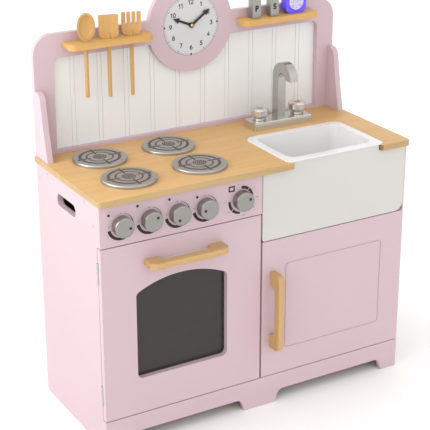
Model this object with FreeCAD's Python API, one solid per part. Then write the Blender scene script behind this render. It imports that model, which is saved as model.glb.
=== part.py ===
import FreeCAD, Part
import math
import os

# A free-standing toy kitchen in painted board: an oven and a cupboard under a wood-look
# worktop, four hob rings, a lift-out sink with a tap set, and a backsplash with a clock,
# two shelves, utensils, two shakers and a timer.
#
# Millimetres. X runs left to right seen from the front, Y runs from the front to the back,
# Z up from the floor. The origin is the bottom centre of the whole object.

V = FreeCAD.Vector
X_AXIS = V(1, 0, 0)
Y_AXIS = V(0, 1, 0)
Z_AXIS = V(0, 0, 1)

# ---- driving dimensions -------------------------------------------------------------
CARCASS_W = 706.0          # across the outer faces of the two side panels
CARCASS_D = 290.0          # front faces of the doors to the back edges of the sides
WORKTOP_Z = 530.0          # top face of the worktop
SPLASH_H = 246.0           # backsplash frame above the worktop
BOARD = 12.0               # thickness of every structural board
BACK_T = 4.0               # thickness of the two thin back boards

PLINTH_H = 65.0
FOOT_OUTER_W = 39.0        # foot under each side, at the floor
FOOT_MIDDLE_W = 75.0
ARCH_H = 27.0
ARCH_SLOPE = 9.0           # how far an arch end leans in over its height
ARCH_R = 14.0

SEAM = 2.0                 # gap above and below a door
DOOR_GAP = 4.0             # gap between the two doors
PANEL_H = 84.0             # control panel
APRON_H = 145.0            # front board under the sink
BASE_Z = 39.0              # underside of the floor board
OVEN_SHELF_Z = 204.0       # underside of the oven shelf
OVEN_SHELF_SETBACK = 20.0

WORKTOP_FRONT = 9.0        # overhang at the front
WORKTOP_SIDE = 3.0         # overhang at each side
WORKTOP_R = 8.0
NOTCH_R = 7.0              # front corners of the sink notch
EDGING_T = 0.8

APRON_GAP = 1.5
APRON_LIP = 3.0            # width of side panel left in front of the sink apron's end
APRON_R_RIGHT = 20.0
APRON_R_LEFT = 5.0
APRON_RAIL_H = 60.0
SINK_SHIFT = 0.5           # centre of the sink, from the middle of the right half
SINK_W = 236.0             # over the rim
SINK_FRONT = -2.0          # front edge of the rim, from the door plane
SINK_FROM_BACK = 120.0     # back edge of the rim, from the back of the carcass
SINK_RIM_T = 2.5
SINK_LEDGE = 12.0          # rim resting on the worktop
SINK_DEPTH = 74.0
SINK_WALL = 2.5
SINK_DRAFT = 9.0
SINK_R = 22.0
SINK_CLEAR = 1.5           # between the tub and the worktop cut-out

HOB_R = 54.7
HOB_T = 7.0
HOB_PITCH = 154.0          # between the two columns of rings
HOB_SHIFT = 0.5            # middle of the four rings, from the middle of the left half

TAP_BASE_W = 142.0
TAP_BASE_D = 45.0
TAP_BASE_H = 18.0
TAP_FROM_BACK = 72.5       # middle of the tap base, from the back of the carcass
TAP_SHIFT = -1.5           # middle of the tap base, from the middle of the right half
SPOUT_W = 19.0
SPOUT_BAND = 22.0
SPOUT_R = 34.5             # outer radius of the hook
SPOUT_RISE = 90.0          # straight column above the base
TAP_SPACING = 94.0
TAP_R = 19.3
TAP_H = 26.0
TAP_NECK_R = 12.5
TAP_LIFT = 0.3             # under the turning taps
TAP_PIN_R = 5.0

KNOB_R = 20.2
KNOB_BACK_R = 18.4
KNOB_DEPTH = 19.5
KNOB_STANDOFF = 0.5
KNOB_INSET_LEFT = 44.2     # first knob, from the left end of the control panel
KNOB_INSET_RIGHT = 48.8    # oven knob, from its right end
KNOB_OVEN_SPACE = 1.33     # the oven knob's spacing, in spacings of the other four
KNOB_DROP = 1.3            # knobs sit this far below the middle of the panel
KNOB_PIN_R = 4.0
RUNNING = 0.05             # radial clearance of every turning fit

WINDOW_OUTER = 72.0        # door's hinged edge to the window
WINDOW_INNER = 78.0        # door's free edge to the window
WINDOW_SILL = 76.0         # door's bottom edge to the window
WINDOW_HEAD = 106.0        # door's top edge to where the window's arch starts
WINDOW_RISE = 25.0
WINDOW_R = 11.0
PANE_T = 3.0
PANE_LAP = 8.0

HANDLE_L = 170.0
HANDLE_D = 36.0
HANDLE_BAR = 18.0
HANDLE_FOOT = 27.0
HANDLE_R = 15.0
HANDLE_INNER_R = 7.0
OVEN_HANDLE_DROP = 42.5    # middle of the handle, from the door's top edge
CUPBOARD_HANDLE_X = 26.5   # centre of the handle, from the middle of the carcass

GROOVE_SIDE = 55.0         # routed line on the cupboard door, from the door's edges
GROOVE_W = 2.6
GROOVE_DEPTH = 1.2
GROOVE_R = 9.0

HINGE_INSET = 52.0         # hinge centre to the door's end
HINGE_H = 44.0
HINGE_GAP = 1.5            # door back to the carcass
LEAF_T = 0.7
KNUCKLE_R = 2.6
KNUCKLE_COUNT = 5
KNUCKLE_CLEAR = 0.3
HINGE_PIN_R = 1.3
LEAF_W_FRAME = 8.0
LEAF_W_DOOR = 18.0

SLOT_Y = 148.0             # centre of the hand slot, from the door plane
SLOT_DROP = 46.0           # centre of the hand slot, from the top of the side
SLOT_L = 84.0
SLOT_H = 25.0
SLOT_R = 10.0

SPLASH_BORDER = 42.0
SPLASH_RAIL = 49.0
SPLASH_FOOT_H = 7.0
SPLASH_R = 40.0
SPLASH_INNER_R = 14.0
DISC_X = -3.8
DISC_DROP = 19.0           # centre of the clock disc, from the top of the frame
DISC_R = 98.0
PANEL_LAP = 20.0
BEAD_PITCH = 59.4
BEAD_PAIR = 9.3
BEAD_W = 1.7
BEAD_DEPTH = 1.3

WING_FOOT_D = 48.0
WING_H = 137.0
SHELF_D = 39.0
SHELF_DISC_GAP = 8.0       # inner end of each shelf, from the clock disc's radius
SHELF_FROM_SIDE = 63.0     # outer end of each shelf, from the side of the carcass
SHELF_DROP = 18.0          # top face, from the top of the frame
SHELF_R = 14.0

CLOCK_R = 64.0
CLOCK_T = 1.2
HAND_T = 1.6
HAND_GAP = 0.8
HOUR_L = 45.0
MINUTE_L = 51.0
HAND_W = 5.4
HAND_HUB_R = 5.6
HAND_TIP_L = 14.0
HAND_TIP_W = 12.0
HOUR_ANGLE = -68.0         # degrees clockwise from twelve
MINUTE_ANGLE = 54.0
CLOCK_PIN_R = 2.5
CLOCK_PIN_HEAD_R = 3.6

UTENSIL_PITCH = 49.8
UTENSIL_SHIFT = -1.1       # middle utensil, from the middle of the left shelf
UTENSIL_HANGS = (114.0, 120.0, 124.0)   # handle ends, below the shelf's top face
UTENSIL_TURN = -13.0       # the spatula and the fork hang turned about their handles
UTENSIL_SETBACK = 19.0     # from the backsplash face
DOWEL_R = 4.0
DOWEL_CLEAR = 1.0
REST_GAP = 0.3             # between a lift-off piece and what it stands on
SPOON_HALF_W = 19.6
SPOON_HALF_H = 28.5
SPOON_T = 9.0
SPOON_RIM = 5.0
SPOON_FLOOR = 3.5
BLADE_W = 39.4
BLADE_H = 47.0
BLADE_T = 5.0
TINE_SLOT_W = 3.2
TINE_SLOT_PITCH = 10.2
TINE_SLOT_L = 26.0

SHAKER_SHIFTS = (-59.0, -15.0)   # from the middle of the right shelf
SHAKER_W = 20.0
SHAKER_D = 18.0
SHAKER_H = 60.0
TIMER_SHIFT = 40.0         # from the middle of the right shelf
TIMER_W = 50.0
TIMER_H = 50.0
TIMER_D = 20.0
TIMER_R = 13.0
TIMER_DIAL_R = 17.5
TIMER_DIAL_T = 3.0
SHELF_ITEM_Y = 16.0        # centre of what stands on the shelf, from the backsplash face

SCREW_HEAD_R = 3.6
SCREW_HEAD_T = 2.4
SCREW_R = 1.8
SCREW_L = 30.0

# ---- positions worked out from them ----------------------------------------------------
FRONT = HANDLE_D - (HANDLE_D + CARCASS_D + BACK_T) / 2   # plane of the doors' front faces
BACK = FRONT + CARCASS_D
HALF_W = CARCASS_W / 2
INNER_W = HALF_W - BOARD
CASE_TOP = WORKTOP_Z - BOARD
PANEL_BOTTOM_Z = CASE_TOP - PANEL_H
APRON_BOTTOM_Z = CASE_TOP - APRON_H
OVEN_TOP_Z = PANEL_BOTTOM_Z - SEAM
CUPBOARD_TOP_Z = APRON_BOTTOM_Z - SEAM
SPLASH_TOP_Z = WORKTOP_Z + SPLASH_H
SLOT_Z = CASE_TOP - SLOT_DROP
DOOR_BOTTOM_Z = PLINTH_H + SEAM
DOOR_BACK = FRONT + BOARD
FRAME_FRONT = DOOR_BACK + HINGE_GAP      # carcass edges behind the doors
HINGE_Y = DOOR_BACK + HINGE_GAP / 2
BASE_TOP = BASE_Z + BOARD
SPLASH_FACE = BACK - BOARD
DOOR_IN = DOOR_GAP / 2                   # inner edge of each door, from the middle
DOOR_W = HALF_W - DOOR_IN
WINDOW_BOTTOM_Z = DOOR_BOTTOM_Z + WINDOW_SILL
WINDOW_SHOULDER_Z = OVEN_TOP_Z - WINDOW_HEAD
OVEN_HANDLE_Z = OVEN_TOP_Z - OVEN_HANDLE_DROP
KNOB_Z = (PANEL_BOTTOM_Z + CASE_TOP) / 2 - KNOB_DROP
KNOB_PITCH = (HALF_W - KNOB_INSET_LEFT - KNOB_INSET_RIGHT) / (3 + KNOB_OVEN_SPACE)
KNOB_XS = tuple(-HALF_W + KNOB_INSET_LEFT + i * KNOB_PITCH for i in (0, 1, 2, 3, 3 + KNOB_OVEN_SPACE))
HOB_X = HOB_SHIFT - HALF_W / 2
HOB_XS = (HOB_X - HOB_PITCH / 2, HOB_X + HOB_PITCH / 2)
HOB_SPACE = (CARCASS_D - BOARD - 4 * HOB_R) / 3        # before, between and behind the two rows
HOB_YS = (HOB_SPACE + HOB_R, 2 * HOB_SPACE + 3 * HOB_R)   # from the door plane
SINK_X = HALF_W / 2 + SINK_SHIFT
SINK_BACK = CARCASS_D - SINK_FROM_BACK
TAP_BASE_X = HALF_W / 2 + TAP_SHIFT
TAP_BASE_Y = CARCASS_D - TAP_FROM_BACK
TAP_BASE_TOP = WORKTOP_Z + TAP_BASE_H
BACK_RAIL_Y = BACK - 21.0
BACK_RAIL_Z = (CASE_TOP - 98.0, CASE_TOP - 12.0)
CLEAT = 16.0
SHELF_TOP_Z = SPLASH_TOP_Z - SHELF_DROP
SHELF_BOTTOM_Z = SHELF_TOP_Z - BOARD
SHELF_INNER = DISC_R + SHELF_DISC_GAP
SHELF_OUTER = HALF_W - SHELF_FROM_SIDE
SHELF_MIDDLE = (SHELF_INNER + SHELF_OUTER) / 2
DISC_Z = SPLASH_TOP_Z - DISC_DROP
BEAD_COUNT = int((CARCASS_W - 2 * SPLASH_BORDER) / BEAD_PITCH)
UTENSIL_XS = tuple(UTENSIL_SHIFT - SHELF_MIDDLE + i * UTENSIL_PITCH for i in (-1, 0, 1))
UTENSIL_ENDS_Z = tuple(SHELF_TOP_Z - hang for hang in UTENSIL_HANGS)
SHAKER_XS = tuple(SHELF_MIDDLE + shift for shift in SHAKER_SHIFTS)
TIMER_X = SHELF_MIDDLE + TIMER_SHIFT
TUB_W = SINK_W - 2 * SINK_LEDGE - 2 * SINK_CLEAR
TUB_FRONT = FRONT + BOARD + SINK_CLEAR
TUB_BACK = FRONT + SINK_BACK - SINK_LEDGE - SINK_CLEAR


# ---- shape helpers -------------------------------------------------------------------
def block(x0, x1, y0, y1, z0, z1):
    return Part.makeBox(x1 - x0, y1 - y0, z1 - z0, V(x0, y0, z0))


def rounded_face(corners, place):
    """Face through corners (u, v, radius); place turns (u, v) into a point in space."""
    edges = []
    count = len(corners)
    joins = []
    for i, (u, v, radius) in enumerate(corners):
        before = corners[i - 1]
        after = corners[(i + 1) % count]
        to_before = V(before[0] - u, before[1] - v, 0).normalize()
        to_after = V(after[0] - u, after[1] - v, 0).normalize()
        here = V(u, v, 0)
        if radius <= 0:
            joins.append((here, here, here))
            continue
        half = to_before.getAngle(to_after) / 2
        reach = radius / math.tan(half)
        centre = here + (to_before + to_after).normalize() * (radius / math.sin(half))
        middle = centre + (here - centre).normalize() * radius
        joins.append((here + to_before * reach, middle, here + to_after * reach))
    for i, (start, middle, end) in enumerate(joins):
        if start.distanceToPoint(end) > 1e-6:
            points = [place(p.x, p.y) for p in (start, middle, end)]
            edges.append(Part.Arc(*points).toShape())
        following = joins[(i + 1) % count][0]
        if end.distanceToPoint(following) > 1e-6:
            edges.append(Part.makeLine(place(end.x, end.y), place(following.x, following.y)))
    return Part.Face(Part.Wire(edges))


def prism_x(corners, x0, x1):
    """Outline in (y, z) run from x0 to x1."""
    return rounded_face(corners, lambda u, v: V(x0, u, v)).extrude(V(x1 - x0, 0, 0))


def prism_y(corners, y0, y1):
    """Outline in (x, z) run from y0 to y1."""
    return rounded_face(corners, lambda u, v: V(u, y0, v)).extrude(V(0, y1 - y0, 0))


def prism_z(corners, z0, z1):
    """Outline in (x, y) run from z0 to z1."""
    return rounded_face(corners, lambda u, v: V(u, v, z0)).extrude(V(0, 0, z1 - z0))


def rect(u0, u1, v0, v1, radius=0.0):
    return [(u0, v0, radius), (u1, v0, radius), (u1, v1, radius), (u0, v1, radius)]


def turned(profile, origin, axis):
    """Solid of revolution from (radius, height) points about an axis through origin."""
    points = [V(r, 0, h) for r, h in profile]
    wire = Part.makePolygon(points + [points[0]])
    solid = Part.Face(wire).revolve(V(0, 0, 0), Z_AXIS, 360)
    solid.Placement = FreeCAD.Placement(origin, FreeCAD.Rotation(Z_AXIS, axis))
    return solid


def rod(radius, start, axis, length):
    return Part.makeCylinder(radius, length, start, axis)


def soft_edges(solid, radius, test):
    """Rounds the edges that test picks by their middle point and direction."""
    chosen = []
    for edge in solid.Edges:
        middle = edge.valueAt((edge.FirstParameter + edge.LastParameter) / 2)
        if test(edge, middle):
            chosen.append(edge)
    return solid.makeFillet(radius, chosen)


def along(edge, axis):
    """True for a straight edge along an axis."""
    if len(edge.Vertexes) < 2 or edge.Curve.TypeId != "Part::GeomLine":
        return False
    return abs(edge.Curve.Direction.dot(axis)) > 0.999


def countersunk(tip_point, direction, length=SCREW_L, shank=SCREW_R, head=SCREW_HEAD_R):
    """Countersunk screw whose head face is at tip_point and that runs along direction."""
    head_t = SCREW_HEAD_T * head / SCREW_HEAD_R
    profile = [(0, 0), (head, 0), (shank, head_t), (shank, length - shank), (0, length)]
    return turned(profile, tip_point, direction)


def mirrored(shape):
    return shape.mirror(V(0, 0, 0), X_AXIS)


def cut_all(shape, tools):
    for tool in tools:
        shape = shape.cut(tool)
    return shape


# ---- carcass ---------------------------------------------------------------------------
def side_panel(right):
    """One side, with a notch for the door, a hand slot and an eased back foot."""
    notch_top = APRON_BOTTOM_Z if right else PANEL_BOTTOM_Z
    corners = [
        (FRONT, 0, 0), (BACK - 9, 0, 4), (BACK, 6, 4), (BACK, CASE_TOP, 0), (FRONT, CASE_TOP, 0),
        (FRONT, notch_top, 0), (FRAME_FRONT, notch_top, 2), (FRAME_FRONT, PLINTH_H, 2),
        (FRONT, PLINTH_H, 0),
    ]
    panel = prism_x(corners, -HALF_W, -INNER_W)
    slot = rect(FRONT + SLOT_Y - SLOT_L / 2, FRONT + SLOT_Y + SLOT_L / 2,
                SLOT_Z - SLOT_H / 2, SLOT_Z + SLOT_H / 2, SLOT_R)
    panel = panel.cut(prism_x(slot, -HALF_W - 1, -INNER_W + 1))
    for z in hinge_heights(right):
        panel = panel.cut(knuckle_space(z))
    if right:
        rebate = block(-HALF_W + APRON_LIP, -INNER_W, FRONT, DOOR_BACK, APRON_BOTTOM_Z, CASE_TOP)
        panel = mirrored(panel.cut(rebate))
    return panel


def hinge_heights(right):
    top = CUPBOARD_TOP_Z if right else OVEN_TOP_Z
    return (DOOR_BOTTOM_Z + HINGE_INSET, top - HINGE_INSET)


def knuckle_space(z):
    """Room for a hinge's knuckles at the left outer corner."""
    length = HINGE_H + 2 * KNUCKLE_CLEAR
    start = V(-HALF_W, HINGE_Y, z - length / 2)
    return rod(KNUCKLE_R + KNUCKLE_CLEAR, start, Z_AXIS, length)


def divider():
    board = block(-BOARD / 2, BOARD / 2, FRAME_FRONT, BACK, BASE_TOP, CASE_TOP)
    nose = block(-BOARD / 2, BOARD / 2, DOOR_BACK, FRAME_FRONT, PANEL_BOTTOM_Z, CASE_TOP)
    rail_room = block(-BOARD, BOARD, BACK_RAIL_Y, BACK, BACK_RAIL_Z[0], BACK_RAIL_Z[1])
    return board.fuse(nose).removeSplitter().cut(rail_room)


def base_panel():
    return block(-INNER_W, INNER_W, DOOR_BACK, BACK, BASE_Z, BASE_TOP)


def plinth():
    """Board under the doors, cut into three feet by two low arches."""
    outer = HALF_W - FOOT_OUTER_W
    inner = FOOT_MIDDLE_W / 2
    arch = [(inner, -1, 0), (inner, 0, 0), (inner + ARCH_SLOPE, ARCH_H, ARCH_R),
            (outer - ARCH_SLOPE, ARCH_H, ARCH_R), (outer, 0, 0), (outer, -1, 0)]
    cutter = prism_y(arch, FRONT - 1, DOOR_BACK + 1)
    board = block(-INNER_W, INNER_W, FRONT, DOOR_BACK, 0, PLINTH_H)
    return board.cut(cutter).cut(mirrored(cutter))


def control_panel():
    return block(-INNER_W, 0, FRONT, DOOR_BACK, PANEL_BOTTOM_Z, CASE_TOP)


def sink_apron():
    """White front under the sink: rounded lower corners, raised behind the worktop notch."""
    left = APRON_GAP
    right = HALF_W - APRON_LIP
    notch = SINK_W / 2 - SINK_LEDGE - SINK_CLEAR
    corners = [
        (left, APRON_BOTTOM_Z, APRON_R_LEFT), (right, APRON_BOTTOM_Z, APRON_R_RIGHT),
        (right, CASE_TOP, 0), (SINK_X + notch, CASE_TOP, 0), (SINK_X + notch, WORKTOP_Z, 0),
        (SINK_X - notch, WORKTOP_Z, 0), (SINK_X - notch, CASE_TOP, 0), (left, CASE_TOP, 0),
    ]
    return prism_y(corners, FRONT, DOOR_BACK)


def apron_rail():
    top = APRON_BOTTOM_Z + SEAM + APRON_RAIL_H
    return block(BOARD / 2, INNER_W, FRAME_FRONT, FRAME_FRONT + BOARD, APRON_BOTTOM_Z + SEAM, top)


def apron_packers():
    """Two packers that carry the apron on the rail and the divider."""
    z0 = APRON_BOTTOM_Z + SEAM
    z1 = z0 + APRON_RAIL_H
    return [block(x, x + 30, DOOR_BACK, FRAME_FRONT, z0, z1) for x in (40.0, INNER_W - 70)]


def back_panel():
    return block(-HALF_W + SEAM, HALF_W - SEAM, BACK, BACK + BACK_T, BASE_Z / 2, CASE_TOP)


def back_rail():
    return block(-INNER_W, INNER_W, BACK_RAIL_Y, BACK_RAIL_Y + BOARD, *BACK_RAIL_Z)


def cleats():
    """Battens that carry the worktop and the control panel."""
    top = block(-INNER_W, -INNER_W + CLEAT, FRONT + 44, BACK_RAIL_Y - 4, CASE_TOP - CLEAT, CASE_TOP)
    upright = block(-INNER_W, -INNER_W + CLEAT, DOOR_BACK, DOOR_BACK + 2 * CLEAT,
                    PANEL_BOTTOM_Z + 4, CASE_TOP - CLEAT)
    slot_low = SLOT_Z + SLOT_H / 2
    if CASE_TOP - CLEAT < slot_low:
        top = block(-INNER_W, -INNER_W + CLEAT, FRONT + 44, BACK_RAIL_Y - 4, slot_low, CASE_TOP)
    return [top, mirrored(top), upright]


def oven_shelf():
    return block(-INNER_W, -BOARD / 2, FRONT + OVEN_SHELF_SETBACK, BACK - 12,
                 OVEN_SHELF_Z, OVEN_SHELF_Z + BOARD)


def worktop_outline(inset):
    x = HALF_W + WORKTOP_SIDE - inset
    y0 = FRONT - WORKTOP_FRONT + inset
    y1 = BACK - inset
    radius = WORKTOP_R - inset
    return [(-x, y0, radius), (x, y0, radius), (x, y1, 0), (-x, y1, 0)]


def sink_cutout():
    half = SINK_W / 2 - SINK_LEDGE
    y0 = FRONT - WORKTOP_FRONT - 5
    y1 = FRONT + SINK_BACK - SINK_LEDGE
    corners = [(SINK_X - half, y0, 0), (SINK_X + half, y0, 0),
               (SINK_X + half, y1, SINK_R), (SINK_X - half, y1, SINK_R)]
    return prism_z(corners, CASE_TOP - 1, WORKTOP_Z + 1)


def worktop_slab():
    """Whole worktop with its sink notch; the notch's two front corners are rounded."""
    slab = prism_z(worktop_outline(0), CASE_TOP, WORKTOP_Z).cut(sink_cutout())
    front = FRONT - WORKTOP_FRONT
    notch = SINK_W / 2 - SINK_LEDGE
    return soft_edges(slab, NOTCH_R, lambda e, p: abs(p.y - front) < 0.01
                      and abs(abs(p.x - SINK_X) - notch) < 0.01 and abs(p.z - WORKTOP_Z + BOARD / 2) < 0.01)


def worktop():
    return worktop_slab().common(prism_z(worktop_outline(EDGING_T), CASE_TOP - 1, WORKTOP_Z + 1))


def worktop_edging():
    """Thin strip glued round the worktop's edges, in two lengths beside the sink notch."""
    return worktop_slab().cut(prism_z(worktop_outline(EDGING_T), CASE_TOP - 1, WORKTOP_Z + 1))


def hob_rings():
    rings = []
    for x in HOB_XS:
        for y in HOB_YS:
            profile = [(0, 0), (HOB_R, 0), (HOB_R, HOB_T), (0, HOB_T)]
            ring = turned(profile, V(x, FRONT + y, WORKTOP_Z), Z_AXIS)
            top = WORKTOP_Z + HOB_T
            rings.append(soft_edges(ring, 3.0, lambda e, p: len(e.Vertexes) == 1 and abs(p.z - top) < 0.01))
    return rings


# ---- sink and tap set ------------------------------------------------------------------
def tub_outline(shrink):
    half = TUB_W / 2 - shrink
    return rect(SINK_X - half, SINK_X + half, TUB_FRONT + shrink, TUB_BACK - shrink,
                SINK_R - SINK_CLEAR - shrink / 2)


def tub_loft(shrink, z_top, z_bottom):
    """Tapering rounded block: the tub's outside or inside."""
    wires = []
    for z, extra in ((z_bottom, SINK_DRAFT), (z_top, 0.0)):
        wires.append(rounded_face(tub_outline(shrink + extra), lambda u, v: V(u, v, z)).OuterWire)
    return Part.makeLoft(wires, True, True)


def sink_tub():
    bottom = WORKTOP_Z + SINK_RIM_T - SINK_DEPTH
    half = SINK_W / 2
    rim_outline = [
        (SINK_X - half, FRONT + SINK_FRONT, 12), (SINK_X + half, FRONT + SINK_FRONT, 12),
        (SINK_X + half, FRONT + SINK_BACK, 22), (SINK_X - half, FRONT + SINK_BACK, 22),
    ]
    rim = prism_z(rim_outline, WORKTOP_Z, WORKTOP_Z + SINK_RIM_T)
    rim = soft_edges(rim, 1.6, lambda e, p: abs(p.z - WORKTOP_Z - SINK_RIM_T) < 0.01)
    outside = tub_loft(0, WORKTOP_Z + SINK_RIM_T / 2, bottom)
    inside = tub_loft(SINK_WALL, WORKTOP_Z + SINK_RIM_T + 1, bottom + SINK_WALL)
    return rim.fuse(outside).cut(inside)


def tap_base():
    x0 = TAP_BASE_X - TAP_BASE_W / 2
    y0 = FRONT + TAP_BASE_Y - TAP_BASE_D / 2
    base = block(x0, x0 + TAP_BASE_W, y0, y0 + TAP_BASE_D, WORKTOP_Z, TAP_BASE_TOP)
    base = soft_edges(base, 1.5, lambda e, p: p.z > WORKTOP_Z + 0.01)
    for pin in tap_pins():
        base = base.cut(pin)
    return base


def tap_xs():
    return (TAP_BASE_X - TAP_SPACING / 2, TAP_BASE_X + TAP_SPACING / 2)


def tap_pins():
    """Dowels glued into the base, on which the taps turn."""
    depth = TAP_BASE_H * 0.7
    length = depth + TAP_H * 0.65
    start_z = TAP_BASE_TOP - depth
    return [rod(TAP_PIN_R, V(x, FRONT + TAP_BASE_Y, start_z), Z_AXIS, length) for x in tap_xs()]


def tap(index):
    """Turned tap head with a narrow neck and a shallow dish for the coloured dot."""
    h = TAP_H - TAP_LIFT
    profile = [
        (0, 0), (TAP_NECK_R, 0), (TAP_NECK_R + 0.6, 5), (TAP_R, 12), (TAP_R, h - 3.2),
        (TAP_R - 2.8, h), (8.2, h), (7.6, h - 0.8), (0, h - 0.8),
    ]
    centre = V(tap_xs()[index], FRONT + TAP_BASE_Y, TAP_BASE_TOP + TAP_LIFT)
    body = turned(profile, centre, Z_AXIS)
    bore_depth = TAP_H * 0.65 + RUNNING
    bore = rod(TAP_PIN_R + RUNNING, centre - V(0, 0, 1), Z_AXIS, bore_depth + 1)
    return body.cut(bore)


def tap_spout():
    """Flat-sided hook cut from thick board: a column that arches over the sink."""
    inner_r = SPOUT_R - SPOUT_BAND
    centre_y = FRONT + TAP_BASE_Y + SPOUT_BAND / 2 - SPOUT_R - 1.5
    centre_z = TAP_BASE_TOP + SPOUT_RISE
    x0 = TAP_BASE_X - SPOUT_W / 2

    def arc(radius):
        points = []
        for angle in (180, 90, 0):
            a = math.radians(angle)
            points.append(V(x0, centre_y + radius * math.cos(a), centre_z + radius * math.sin(a)))
        return Part.Arc(*points).toShape()

    back = centre_y + SPOUT_R
    front = centre_y + inner_r
    foot_z = TAP_BASE_TOP
    edges = [
        arc(SPOUT_R), Part.makeLine(V(x0, back, centre_z), V(x0, back, foot_z)),
        Part.makeLine(V(x0, back, foot_z), V(x0, front, foot_z)),
        Part.makeLine(V(x0, front, foot_z), V(x0, front, centre_z)), arc(inner_r),
        Part.makeLine(V(x0, centre_y - inner_r, centre_z), V(x0, centre_y - SPOUT_R, centre_z)),
    ]
    wire = Part.Wire(Part.__sortEdges__(edges))
    return Part.Face(wire).extrude(V(SPOUT_W, 0, 0))


# ---- control knobs ---------------------------------------------------------------------
def knob_pins():
    """Shouldered pins through the control panel; each knob turns on one."""
    pins = []
    for x in KNOB_XS:
        tip = FRONT - KNOB_DEPTH + 5
        profile = [(0, 0), (KNOB_PIN_R, 0), (KNOB_PIN_R, DOOR_BACK - tip), (KNOB_PIN_R + 3, DOOR_BACK - tip),
                   (KNOB_PIN_R + 3, DOOR_BACK - tip + 3), (0, DOOR_BACK - tip + 3)]
        pins.append(turned(profile, V(x, tip, KNOB_Z), Y_AXIS))
    return pins


def control_knob(index):
    depth = KNOB_DEPTH
    profile = [
        (0, 0), (KNOB_BACK_R, 0), (KNOB_BACK_R, 2.2), (KNOB_R, 3.4), (KNOB_R, depth - 3),
        (KNOB_R - 0.9, depth - 0.9), (KNOB_R - 3, depth), (0, depth),
    ]
    centre = V(KNOB_XS[index], FRONT - KNOB_STANDOFF, KNOB_Z)
    body = turned(profile, centre, Y_AXIS * -1)
    bore = rod(KNOB_PIN_R + RUNNING, centre + V(0, 1, 0), Y_AXIS * -1, depth - KNOB_STANDOFF - 5 + 1 + 0.2)
    return body.cut(bore)


# ---- doors -----------------------------------------------------------------------------
def window_outline(grow):
    """Arched window: x and z corners, with the arch as one circle through three points."""
    left = -HALF_W + WINDOW_OUTER - grow
    right = -DOOR_IN - WINDOW_INNER + grow
    return left, right, WINDOW_BOTTOM_Z - grow, WINDOW_SHOULDER_Z + grow


def window_solid(grow, y0, y1):
    left, right, bottom, shoulder = window_outline(grow)
    middle = (left + right) / 2
    face_corners = rect(left, right, bottom, shoulder + WINDOW_RISE, WINDOW_R)
    slab = prism_y(face_corners, y0, y1)
    half = (right - left) / 2
    radius = (half * half + WINDOW_RISE * WINDOW_RISE) / (2 * WINDOW_RISE)
    top = shoulder + WINDOW_RISE
    disc = rod(radius, V(middle, y0, top - radius), Y_AXIS, y1 - y0)
    arched = slab.common(disc)
    corners_round = [e for e in arched.Edges if along(e, Y_AXIS)
                     and abs(e.valueAt(e.FirstParameter).z - shoulder) < WINDOW_R]
    if corners_round:
        arched = arched.makeFillet(WINDOW_R, corners_round)
    return arched


def door_board(x0, x1, z1):
    return block(x0, x1, FRONT, DOOR_BACK, DOOR_BOTTOM_Z, z1)


def oven_door():
    board = door_board(-HALF_W, -DOOR_IN, OVEN_TOP_Z)
    board = board.cut(window_solid(0, FRONT - 1, DOOR_BACK + 1))
    for z in hinge_heights(False):
        board = board.cut(knuckle_space(z))
    return board


def oven_window():
    return window_solid(PANE_LAP, DOOR_BACK, DOOR_BACK + PANE_T)


def groove_ring():
    """Routed line round the middle of the cupboard door."""
    x0 = DOOR_IN + GROOVE_SIDE
    x1 = HALF_W - GROOVE_SIDE
    z0 = DOOR_BOTTOM_Z + GROOVE_SIDE
    z1 = CUPBOARD_TOP_Z - GROOVE_SIDE
    outer = prism_y(rect(x0, x1, z0, z1, GROOVE_R), FRONT - 1, FRONT + GROOVE_DEPTH)
    w = GROOVE_W
    inner = prism_y(rect(x0 + w, x1 - w, z0 + w, z1 - w, GROOVE_R - w), FRONT - 2, FRONT + 2)
    return outer.cut(inner)


def cupboard_door():
    board = door_board(DOOR_IN, HALF_W, CUPBOARD_TOP_Z).cut(groove_ring())
    for z in hinge_heights(True):
        board = board.cut(mirrored(knuckle_space(z)))
    return board


def handle_outline():
    """Handle seen from its flat side: u along it, v out from the door."""
    half = HANDLE_L / 2
    gap = HANDLE_D - HANDLE_BAR
    foot = half - HANDLE_FOOT
    run = gap * 0.55
    return [
        (-half, 0, 0), (-half, -HANDLE_D, HANDLE_R), (half, -HANDLE_D, HANDLE_R), (half, 0, 0),
        (foot, 0, 0), (foot, -2, 2), (foot - run, -gap, HANDLE_INNER_R),
        (-foot + run, -gap, HANDLE_INNER_R), (-foot, -2, 2), (-foot, 0, 0),
    ]


def oven_handle():
    middle = -(HALF_W + DOOR_IN) / 2
    z = OVEN_HANDLE_Z
    face = rounded_face(handle_outline(), lambda u, v: V(middle + u, FRONT + v, z - BOARD / 2))
    return face.extrude(V(0, 0, BOARD))


def cupboard_handle():
    middle = (DOOR_BOTTOM_Z + CUPBOARD_TOP_Z) / 2
    x0 = CUPBOARD_HANDLE_X - BOARD / 2
    face = rounded_face(handle_outline(), lambda u, v: V(x0, FRONT + v, middle + u))
    return face.extrude(V(BOARD, 0, 0))


def handle_screws(vertical):
    """Two screws from the back of a door into the feet of its handle."""
    screws = []
    reach = HANDLE_L / 2 - HANDLE_FOOT / 2
    for side in (-reach, reach):
        if vertical:
            point = V(CUPBOARD_HANDLE_X, DOOR_BACK, (DOOR_BOTTOM_Z + CUPBOARD_TOP_Z) / 2 + side)
        else:
            point = V(-(HALF_W + DOOR_IN) / 2 + side, DOOR_BACK, OVEN_HANDLE_Z)
        screws.append(countersunk(point, Y_AXIS * -1))
    return screws


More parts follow.
